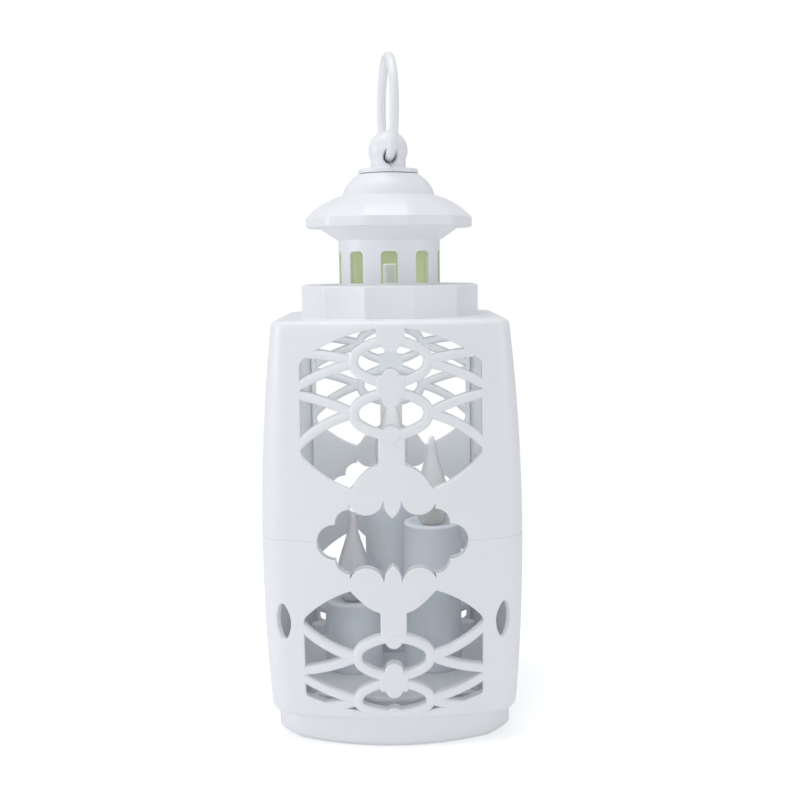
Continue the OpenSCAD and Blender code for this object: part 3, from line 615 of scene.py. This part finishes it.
def addClasps(work, half):
    k, deep = openwork[half]["squeeze"], openwork["depth"]
    wide, narrow, proud = clasps["width"], clasps["width"] - clasps["step"], clasps["proud"]
    cornerRound, bumpRound = clasps["cornerRound"], clasps["bumpRound"]
    low, high, tongue = (v * k for v in clasps["ring"])
    corners = [((s * wide, z), cornerRound) for s in (1, -1) for z in (low, high)]
    addPlate(work, claspOutline(low, high, tongue, wide, narrow), -proud, deep, clasps["frontRound"], corners)
    low, high, tongue, front = clasps["arch" if half == "upper" else "foot"]
    addPlate(work, claspOutline(low, high, tongue, wide, narrow), front, deep, clasps["endRound"])
    low, high, wide = clasps["stem"][0] * k, clasps["stem"][1] * k, clasps["stem"][2]
    stem = [Vector((-wide, low)), Vector((wide, low)), Vector((wide, high)), Vector((-wide, high))]
    corners = [((s * wide, high), cornerRound) for s in (1, -1)]
    addPlate(work, stem, -2 * hair, deep + hair, bumpRound, corners)
    bumps = (clasps["bump"], -proud - 3 * hair), (clasps["stemBump"], clasps["stemBumpFront"])
    for (h, r), front in bumps:
        addPlate(work, circleArc((0, h * k), r, 0, 345, 23), front, deep - 5 * hair, bumpRound)


def latticeHalf(half):
    k = openwork[half]["squeeze"]
    deep, soft = openwork["depth"], openwork["barRound"]
    work = bmesh.new()
    for path in strandPaths(k):
        for side in (1, -1):
            route = [Vector((p.x * side, p.y)) for p in path]
            sweepBar(work, route, openwork["strand"], 3 * hair, deep - 3 * hair, soft)
    a = openwork["eyeWide"] + openwork["strand"] / 2
    b = openwork["eyeHigh"] + openwork["strand"] / 2
    for i, h in enumerate(openwork["eyes"]):
        flat = openwork["lowEye"] if half == "lower" and i == 1 else 1
        outline = oval(a, b, openwork["eyeEnd"])
        eye = [Vector((p.x, max(p.y, 0) * flat + min(p.y, 0) + h * k)) for p in outline]
        front = -openwork["eyeProud"] - 2 * hair * i
        sweepBar(work, eye, openwork["strand"], front, deep - hair, soft, closed=True)
    addClasps(work, half)
    low = openwork["rimLow"]
    arch = archLine(half, openwork["rim"] / 2 + 3 * hair)
    rim = [Vector((arch[0].x, low + (arch[0].y - low) * i / 6)) for i in range(6)] + arch
    rim += [Vector((-p.x, p.y)) for p in reversed(rim[:-1])]
    sweepBar(work, rim, openwork["rim"], openwork["rimFront"], deep, openwork["rimRound"])
    return work


bosses = {"place": 35, "radius": 3.4, "high": 11, "middleZ": 18.1, "round": 0.4}


def addBosses(skin):  # the four posts that take the base's screws
    radius, high = bosses["radius"], bosses["high"]
    for signX, signY in quarters:
        boss = bmesh.new()
        bmesh.ops.create_cone(boss, cap_ends=True, segments=40, radius1=radius, radius2=radius, depth=high)
        bevelEdges(boss, sharpEdges(boss, 60), bosses["round"])
        place = (signX * bosses["place"], signY * bosses["place"], bosses["middleZ"])
        bmesh.ops.translate(boss, verts=boss.verts, vec=place)
        addMesh(skin, boss)


def makeShell(half):
    node = half + "_shell"
    skin = bmesh.new()
    for signX, signY in quarters:
        quarter = skinQuarter(half)
        bend(quarter, half, signX, signY)
        addMesh(skin, quarter)
    bmesh.ops.remove_doubles(skin, verts=skin.verts, dist=2e-3)
    rims = [e for e in skin.edges if e.is_boundary]
    if half == "lower":
        bmesh.ops.bridge_loops(skin, edges=rims)
    else:
        bmesh.ops.holes_fill(skin, edges=rims, sides=0)
    shared = sum(len(e.link_faces) > 2 for e in skin.edges)
    print(node, "wall:", len(skin.faces), "faces,", shared, "edges that more than two faces share")
    for signY in (1, -1):
        inside = bmesh.new()
        for signX in (1, -1):
            quarter = liningQuarter(half)
            bend(quarter, half, signX, signY)
            addMesh(inside, quarter)
        bmesh.ops.remove_doubles(inside, verts=inside.verts, dist=2e-3)
        addMesh(skin, inside)
        lattice = latticeHalf(half)
        bmesh.ops.recalc_face_normals(lattice, faces=lattice.faces)
        bend(lattice, half, 1, signY)
        addMesh(skin, lattice)
    if half == "lower":
        addBosses(skin)
    settle(makeObject(half + "Shell", skin), node, [whitePlastic], "shell", "lantern")


makeShell("upper")
makeShell("lower")
print("shells made")


# Turned pieces

def lathe(profile, segments=96, x=0, y=0):
    # profile of (radius, height) points from the axis round to the axis again, or a closed ring
    bm = bmesh.new()
    verts = [bm.verts.new((r, 0, z)) for r, z in profile]
    edges = [bm.edges.new(pair) for pair in zip(verts, verts[1:])]
    if profile[0][0] > 1e-6:
        edges.append(bm.edges.new((verts[-1], verts[0])))
    bmesh.ops.spin(bm, geom=verts + edges, cent=(0, 0, 0), axis=(0, 0, 1), angle=2 * math.pi,
                   steps=segments, use_merge=True)
    bmesh.ops.remove_doubles(bm, verts=bm.verts, dist=1e-4)
    bmesh.ops.recalc_face_normals(bm, faces=bm.faces)
    bmesh.ops.translate(bm, verts=bm.verts, vec=(x, y, 0))
    return bm


def softened(points, *spots):  # rounds the profile's corners, each spot (index, radius)
    line = []
    sizes = dict(spots)
    for i, here in enumerate(points):
        if i not in sizes:
            line.append(here)
            continue
        here = Vector(here)
        back = (Vector(points[i - 1]) - here).normalized()
        on = (Vector(points[(i + 1) % len(points)]) - here).normalized()
        half = back.angle(on) / 2
        reach = sizes[i] / math.tan(half)
        centre = here + (back + on).normalized() * sizes[i] / math.sin(half)
        a, b = here + back * reach - centre, here + on * reach - centre
        line += [tuple(centre + a.lerp(b, j / 5).normalized() * sizes[i]) for j in range(6)]
    return line


# Candles with dished tops, and their flames

candles = {
    "left": (-17, -7, 49), "right": (17, -7, 82), "rear": (0, 19, 99.5),
    "radius": 12.2, "wall": 1.6, "foot": 18.95, "hole": 2.2, "dish": 1.0, "rim": 2.4, "slope": 3.6,
    "edgeRound": 1.2, "rimRound": 0.4, "dishRound": 0.5,
    "flame": [(0, 0), (4.6, 0), (5.6, 1.6), (6.6, 4.2), (7.25, 7.4), (7.5, 10.6), (7.2, 13.8), (6.5, 17),
              (5.5, 20.2), (4.4, 23.4), (3.35, 26.6), (2.5, 29.6), (1.9, 32.4), (1.5, 35), (1.15, 36.6),
              (0.6, 37.3), (0, 37.45)],
    "flameHigh": 37.5, "folds": 5, "foldDeep": 0.05, "foldTwist": 2.2,
}


def makeCandle(side):
    x, y, top = candles[side]
    r, wall, foot = candles["radius"], candles["wall"], candles["foot"]
    dish = top - candles["dish"]
    rim, slope, hole = r - candles["rim"], r - candles["slope"], candles["hole"]
    line = [(r - wall, foot), (r, foot), (r, top), (rim, top), (slope, dish), (hole, dish),
            (hole, dish - wall), (r - wall, dish - wall)]
    line = softened(line, (1, candles["rimRound"]), (2, candles["edgeRound"]),
                    (3, candles["rimRound"]), (4, candles["dishRound"]))
    candle = makeObject(side + "Candle", lathe(line, 96, x, y))
    settle(candle, "candle_" + side, [candlePlastic], "candle", "lantern")
    drop = lathe(candles["flame"], 72)
    for v in drop.verts:  # a few soft folds down the silicone
        h = v.co.z / candles["flameHigh"]
        turn = candles["folds"] * math.atan2(v.co.y, v.co.x) + candles["foldTwist"] * h + x
        wave = 0.5 + 0.5 * math.cos(turn)
        give = 1 - candles["foldDeep"] * 4 * h * (1 - h) * wave
        v.co = Vector((x + v.co.x * give, y + v.co.y * give, v.co.z + dish))
    settle(makeObject(side + "Flame", drop), "flame_" + side, [flameSilicone], "flame", "lantern")


for side in ("left", "right", "rear"):
    makeCandle(side)
print("candles and flames made")


# Collar with twelve flutes

collar = {
    "ridge": 37.7, "flutes": 12, "flute": 2.1, "low": 169.5, "high": 182.3, "wall": 2.0, "plate": 2.6,
    "edge": 0.8, "ridgeRound": 0.7, "post": 2.8, "postTop": 190.8, "postRound": 0.4,
}


def makeCollar():
    bm = bmesh.new()
    half = math.pi / collar["flutes"]
    ridge, low, high = collar["ridge"], collar["low"], collar["high"]
    rim = []
    for i in range(collar["flutes"]):
        first, last = (2 * i - 1) * half, (2 * i + 1) * half
        a = Vector((ridge * math.cos(first), ridge * math.sin(first)))
        b = Vector((ridge * math.cos(last), ridge * math.sin(last)))
        bulge = ridge * math.cos(half) - ridge + collar["flute"]
        rim += list(reversed(arc(b, a, bulge, 10)))[:-1]
    face = bm.faces.new([bm.verts.new((p.x, p.y, low)) for p in rim])
    movedBy(bm, bmesh.ops.extrude_face_region(bm, geom=[face]), (0, 0, high - low))
    bmesh.ops.recalc_face_normals(bm, faces=bm.faces)
    ridges = [e for e in sharpEdges(bm, 20) if abs(e.verts[0].co.z - e.verts[1].co.z) > 1]
    bevelEdges(bm, ridges, collar["ridgeRound"], 3, clamp=False)
    top = [e for e in bm.edges if all(abs(v.co.z - high) < 1e-4 for v in e.verts)]
    bevelEdges(bm, top, collar["edge"], 4, clamp=False)
    under = [f for f in bm.faces if all(abs(v.co.z - low) < 1e-4 for v in f.verts)]
    bmesh.ops.inset_region(bm, faces=under, thickness=collar["wall"])
    movedBy(bm, bmesh.ops.extrude_face_region(bm, geom=under), (0, 0, high - collar["plate"] - low))
    bmesh.ops.delete(bm, geom=[f for f in under if f.is_valid], context="FACES_ONLY")
    bmesh.ops.recalc_face_normals(bm, faces=bm.faces)
    r, z = collar["post"], collar["postTop"]
    post = softened([(0, low), (r, low), (r, z), (0, z)], (2, collar["postRound"]))
    addMesh(bm, lathe(post, 48))
    settle(makeObject("flutedCollar", bm), "collar", [whitePlastic], "shell", "lantern")


makeCollar()


# Cupola: nine windows, its inner wall painted a darker pale green as shade with a green cast, and the soffit
# that carries the roof

cupola = {
    "radius": 21.2, "wall": 2.0, "low": 180.9, "high": 200.7, "pitch": 1.2,
    "windows": 9, "width": 6.9, "sill": 183.0, "head": 195.9, "round": 1.7, "edge": 0.3, "innerEdge": 0.15,
    "innerShadeDeep": 0.55, "innerShadeEnds": 1,
    "soffit": 29, "soffitRound": 0.5, "lap": 1.2, "flare": 0.5, "brim": 205.8, "seat": 31.6, "seatTop": 207.4,
}


def makeCupola():
    r, bay = cupola["radius"], math.pi * cupola["radius"] / cupola["windows"]
    half, head, sill, soft = cupola["width"] / 2, cupola["head"], cupola["sill"], cupola["round"]
    low, high, wall = cupola["low"], cupola["high"], cupola["wall"]
    outline = [Vector(p) for p in ((0, low), (bay, low), (bay, high), (0, high), (0, head))]
    outline += circleArc((half - soft, head - soft), soft, 90, 0, 5)
    outline += [Vector((half, sill)), Vector((0, sill))]

    def test(verts):
        spots = [v.co for v in verts]
        return (all(abs(c.x) < 1e-4 for c in spots)
                or all(abs(c.x - bay) < 1e-4 for c in spots)
                or all(abs(c.z - low) < 1e-4 for c in spots)
                or all(abs(c.z - high) < 1e-4 for c in spots))
    drum = bmesh.new()
    for i in range(cupola["windows"]):
        for side in (1, -1):
            part = flatSolid(outline, 0, wall, test, cupola["edge"], cupola["innerEdge"])
            cutGrid(part, stepped(0, bay, cupola["pitch"]), ())
            for v in part.verts:
                angle = 2 * math.pi * i / cupola["windows"] + side * v.co.x / r
                reach = r - v.co.y
                v.co = Vector((reach * math.sin(angle), -reach * math.cos(angle), v.co.z))
            if side < 0:
                bmesh.ops.reverse_faces(part, faces=part.faces)
            addMesh(drum, part)
    bmesh.ops.remove_doubles(drum, verts=drum.verts, dist=1e-3)
    bmesh.ops.bridge_loops(drum, edges=[e for e in drum.edges if e.is_boundary])
    # faces on the drum's inner wall, away from its ends, get the painted greenish shade
    depth, ends = cupola["innerShadeDeep"], cupola["innerShadeEnds"]
    for face in drum.faces:
        c = face.calc_center_median()
        if c.xy.length < r - depth and low + ends < c.z < high - ends:
            face.material_index = 1
    soffit, seat, brim, top = cupola["soffit"], cupola["seat"], cupola["brim"], cupola["seatTop"]
    inner, outer, lap = r - wall + 2 * hair, r - 2 * hair, high - cupola["lap"]
    line = [(inner, lap), (outer, lap), (outer, high), (r + cupola["flare"], high + 5 * hair),
            (soffit, brim - 4 * hair), (seat, brim - 4 * hair), (seat, top),
            (soffit - wall, top), (soffit - wall, brim), (inner, high)]
    addMesh(drum, lathe(softened(line, (4, cupola["soffitRound"])), 120))
    settle(makeObject("windowedCupola", drum), "cupola", [whitePlastic, cupolaInnerShade], "shell", "lantern")


makeCupola()


# Roof: twelve soft facets up to a round dome

roof = {
    "corner": 35.3, "brim": 205.8, "edge": 209.6, "foot": 218.9, "top": 227.6, "dome": 19.2, "cap": 12.4,
    "bulge": 1.25, "domeBulge": 1.2, "sides": 12, "crease": 2.3, "brimRound": 0.5, "hole": 4.1,
    "domeSunk": 1.5, "domeTuck": 0.3,  # how the dome's foot goes under the facets
}


def makeRoof():
    bm = bmesh.new()
    tilt = math.pi / roof["sides"]
    flat = roof["corner"] * math.cos(tilt)
    slope = arc((flat, roof["edge"]), (roof["dome"], roof["foot"]), roof["bulge"], 7)
    rings = []
    for apothem, z in [(flat, roof["brim"])] + [tuple(p) for p in slope]:
        radius = apothem / math.cos(tilt)
        made = bmesh.ops.create_circle(bm, cap_ends=False, segments=roof["sides"], radius=radius)
        bmesh.ops.rotate(bm, verts=made["verts"], cent=(0, 0, 0), matrix=Matrix.Rotation(tilt, 3, "Z"))
        bmesh.ops.translate(bm, verts=made["verts"], vec=(0, 0, z))
        rings.append({e for v in made["verts"] for e in v.link_edges})
    for low, high in zip(rings, rings[1:]):
        bmesh.ops.bridge_loops(bm, edges=list(low | high))
    bmesh.ops.holes_fill(bm, edges=[e for e in bm.edges if e.is_boundary], sides=0)
    bmesh.ops.recalc_face_normals(bm, faces=bm.faces)
    creases = [e for e in bm.edges if abs(e.verts[0].co.z - e.verts[1].co.z) > 0.5]
    bevelEdges(bm, creases, roof["crease"], 5, clamp=False)
    brim = [e for e in bm.edges if all(abs(v.co.z - roof["edge"]) < 1e-3 for v in e.verts)
            or all(abs(v.co.z - roof["brim"]) < 1e-3 for v in e.verts)]
    bevelEdges(bm, brim, roof["brimRound"], 3, clamp=False)
    sunk, hole, dome, top = roof["foot"] - roof["domeSunk"], roof["hole"], roof["dome"], roof["top"]
    side = arc((dome, roof["foot"]), (roof["cap"], top), roof["domeBulge"], 8)
    line = [(hole, sunk), (dome - roof["domeTuck"], sunk)] + [tuple(p) for p in side] + [(hole, top)]
    addMesh(bm, lathe(line, 120))
    settle(makeObject("facetedRoof", bm, 24), "roof", [whitePlastic], "shell", "lantern")


makeRoof()
print("collar, cupola and roof made")


# Split finial, and the ring that swings in it

finial = {
    "seat": 227.9, "flange": 12.4, "flangeHigh": 1.8, "flangeUnder": 0.3, "flangeOver": 0.6,
    "neck": 7.2, "neckDrop": 3.6, "fillet": 1.6, "ballZ": 237.4, "ball": 8.1, "ballFrom": -21.7,
    "stem": 4.0, "stemLow": 225.25, "split": 0.06, "splitRound": 0.22, "yaw": 7.5, "pivot": 234.2,
}
ring = {"radius": 20.4, "rod": 1.85, "gap": 0.1, "sides": 28}


def makeFinialHalf(side):
    seat, flange, neck, stem = finial["seat"], finial["flange"], finial["neck"], finial["stem"]
    top, ball, ballZ, low = seat + finial["flangeHigh"], finial["ball"], finial["ballZ"], finial["stemLow"]
    line = [(0, low), (stem, low), (stem, seat), (flange, seat), (flange, top), (neck, top),
            (neck, ballZ - finial["neckDrop"])]
    line = softened(line, (3, finial["flangeUnder"]), (4, finial["flangeOver"]), (5, finial["fillet"]))
    bow = circleArc((0, ballZ), ball, finial["ballFrom"], 90, 16)[:-1]
    half = lathe(line + [tuple(p) for p in bow] + [(0, ballZ + ball)], 96)
    bmesh.ops.bisect_plane(half, geom=half.verts[:] + half.edges[:] + half.faces[:], clear_inner=True,
                           plane_co=(side * finial["split"] / 2, 0, 0), plane_no=(side, 0, 0))
    bmesh.ops.holes_fill(half, edges=[e for e in half.edges if e.is_boundary], sides=0)
    bmesh.ops.recalc_face_normals(half, faces=half.faces)
    rims = [e for e in sharpEdges(half, 50)
            if all(abs(v.co.x) < finial["split"] and v.co.z > seat + 0.5 for v in e.verts)]
    bevelEdges(half, rims, finial["splitRound"], 2, clamp=False)
    obj = makeObject("leftFinial" if side < 0 else "rightFinial", half)
    inner = ring["radius"] - ring["rod"] - ring["gap"]
    reach = ball + 1
    spots = [reach * (i / 12 * 2 - 1) for i in range(13)]
    throat = [(ring["radius"] - math.sqrt(inner ** 2 - y * y), y) for y in spots]
    passage = lathe([(0, -reach)] + throat + [(0, reach)], 72)
    turn = Matrix.Rotation(-math.pi / 2, 3, "X")
    bmesh.ops.rotate(passage, verts=passage.verts, cent=(0, 0, 0), matrix=turn)
    bmesh.ops.translate(passage, verts=passage.verts, vec=(0, 0, finial["pivot"]))
    subtract(obj, makeObject("passage", passage))
    obj.data.transform(Matrix.Rotation(math.radians(finial["yaw"]), 4, "Z"))
    settle(obj, "finial_left" if side < 0 else "finial_right", [whitePlastic], "trim", "finial")


makeFinialHalf(-1)
makeFinialHalf(1)


def makeRing():
    rod, radius, sides = ring["rod"], ring["radius"], ring["sides"]
    section = circleArc((radius, 0), rod, 0, 360 * (sides - 1) / sides, sides - 1)
    bm = lathe([tuple(p) for p in section], 120)
    for angle, axis in ((90, "Y"), (finial["yaw"], "Z")):
        turn = Matrix.Rotation(math.radians(angle), 3, axis)
        bmesh.ops.rotate(bm, verts=bm.verts, cent=(0, 0, 0), matrix=turn)
    bmesh.ops.translate(bm, verts=bm.verts, vec=(0, 0, finial["pivot"] + radius))
    settle(makeObject("hangingRing", bm), "hanging_ring", [whitePlastic], "trim", "ring")


makeRing()
print("finial and ring made")


# Base, deck, cover and knob: softened copies of their own solids

copies = {
    "base_tray": ("baseTray", 0.3, "shell", "lantern"),
    "candle_deck": ("candleDeck", 0.3, "shell", "lantern"),
    "battery_cover": ("batteryCover", 0.2, "shell", "cover"),
    "switch_knob": ("switchKnob", 0.2, "trim", "switch"),
}


def makeCopy(node):
    name, size, slot, rides = copies[node]
    bm = bmesh.new()
    bm.from_mesh(nodes[node].data)
    bmesh.ops.scale(bm, vec=(1 / mm, 1 / mm, 1 / mm), verts=bm.verts)
    bmesh.ops.remove_doubles(bm, verts=bm.verts, dist=2e-3)
    bmesh.ops.dissolve_limit(bm, angle_limit=math.radians(1), verts=bm.verts, edges=bm.edges)
    bevelEdges(bm, sharpEdges(bm, 40), size, 2, clamp=False)
    settle(makeObject(name, bm), node, [whitePlastic], slot, rides)


for node in copies:
    makeCopy(node)

finishes = {
    "cell_front": cellSleeve, "cell_middle": cellSleeve, "cell_rear": cellSleeve,
    "contacts_left": nickel, "contacts_right": nickel, "circuit_board": boardMask, "timer_chip": chipResin,
    "switch_case": nickel, "base_screws": nickel, "collar_screw": nickel, "finial_screw": nickel,
    "led_left": lampEpoxy, "led_right": lampEpoxy, "led_rear": lampEpoxy,
    "leads_left": nickel, "leads_right": nickel, "leads_rear": nickel,
}
for node, obj in nodes.items():
    obj.data.materials.clear()
    obj.data.materials.append(finishes.get(node, whitePlastic))
print("base and inner pieces finished")


# Pale floor that keeps the shadow, white background, soft studio light

studio = {
    "floorSize": 1.2, "fadeFrom": 0.16, "fadeTo": 0.34, "floorGlow": 0.06, "floorSeen": 0.3,
    "world": 0.53, "worldColour": (0.97, 0.98, 1, 1), "aim": (0, 0, 0.13),
    "top": ((-0.1, -0.05, 1.2), 0.7, 4.2, (1, 1, 1)),
    "front": ((-0.45, -1.3, 0.65), 0.35, 1.9, (0.97, 0.985, 1)),
    "left": ((-1.0, -0.15, 0.35), 0.35, 1.8, (0.96, 0.98, 1)),
    "right": ((1.0, -0.35, 0.3), 0.3, 0.8, (0.96, 0.98, 1)),
    "inner": ((0, -0.012, 0.152), 0.06, 0.02, (0.97, 1, 0.96)),
    "cupola": ((0, 0, 0.2), 0.02, 0.002, (1, 1, 0.98)),
}


def makeFloor():
    bm = bmesh.new()
    bmesh.ops.create_grid(bm, x_segments=8, y_segments=8, size=studio["floorSize"])
    mesh = bpy.data.meshes.new("floor")
    bm.to_mesh(mesh)
    bm.free()
    floor = bpy.data.objects.new("floor", mesh)
    bpy.context.scene.collection.objects.link(floor)
    material = bpy.data.materials.new("floorPaper")
    material.use_nodes = True
    tree, links = material.node_tree.nodes, material.node_tree.links
    shader, out = tree["Principled BSDF"], tree["Material Output"]
    shader.inputs["Base Color"].default_value = (0.9, 0.9, 0.9, 1)
    shader.inputs["Roughness"].default_value = 0.9
    shader.inputs["Emission Color"].default_value = (1, 1, 1, 1)
    path = tree.new("ShaderNodeLightPath")
    lift = tree.new("ShaderNodeMath")
    lift.operation = "MULTIPLY_ADD"
    lift.inputs[1].default_value = studio["floorSeen"]
    lift.inputs[2].default_value = studio["floorGlow"]
    links.new(path.outputs["Is Camera Ray"], lift.inputs[0])
    links.new(lift.outputs[0], shader.inputs["Emission Strength"])
    glow = tree.new("ShaderNodeEmission")
    where = tree.new("ShaderNodeTexCoord")
    far = tree.new("ShaderNodeVectorMath")
    far.operation = "LENGTH"
    fade = tree.new("ShaderNodeMapRange")
    fade.interpolation_type = "SMOOTHSTEP"
    fade.inputs["From Min"].default_value = studio["fadeFrom"]
    fade.inputs["From Max"].default_value = studio["fadeTo"]
    seen = tree.new("ShaderNodeMath")
    seen.operation = "MULTIPLY"
    white = tree.new("ShaderNodeMixShader")
    links.new(where.outputs["Object"], far.inputs[0])
    links.new(far.outputs["Value"], fade.inputs["Value"])
    links.new(fade.outputs["Result"], seen.inputs[0])
    links.new(path.outputs["Is Camera Ray"], seen.inputs[1])
    links.new(seen.outputs[0], white.inputs["Fac"])
    links.new(shader.outputs["BSDF"], white.inputs[1])
    links.new(glow.outputs["Emission"], white.inputs[2])
    links.new(white.outputs["Shader"], out.inputs["Surface"])
    mesh.materials.append(material)


def makeLight():
    world = bpy.data.worlds.new("studio")
    bpy.context.scene.world = world
    world.use_nodes = True
    tree, links = world.node_tree.nodes, world.node_tree.links
    plain = tree["Background"]
    plain.inputs["Color"].default_value = studio["worldColour"]
    plain.inputs["Strength"].default_value = studio["world"]
    bright = tree.new("ShaderNodeBackground")
    bright.inputs["Color"].default_value = (1, 1, 1, 1)
    mix = tree.new("ShaderNodeMixShader")
    path = tree.new("ShaderNodeLightPath")
    links.new(path.outputs["Is Camera Ray"], mix.inputs["Fac"])
    links.new(plain.outputs["Background"], mix.inputs[1])
    links.new(bright.outputs["Background"], mix.inputs[2])
    links.new(mix.outputs["Shader"], tree["World Output"].inputs["Surface"])
    for name in ("top", "front", "left", "right", "inner", "cupola"):
        place, size, watts, colour = studio[name]
        data = bpy.data.lights.new(name, "AREA")
        data.size = size
        data.energy = watts
        data.color = colour
        lamp = bpy.data.objects.new(name, data)
        lamp.location = place
        way = Vector(studio["aim"]) - Vector(place)
        lamp.rotation_euler = way.to_track_quat("-Z", "Y").to_euler()
        bpy.context.scene.collection.objects.link(lamp)


makeFloor()
makeLight()
bpy.context.scene.view_settings.view_transform = "Standard"
print("stage and light made")
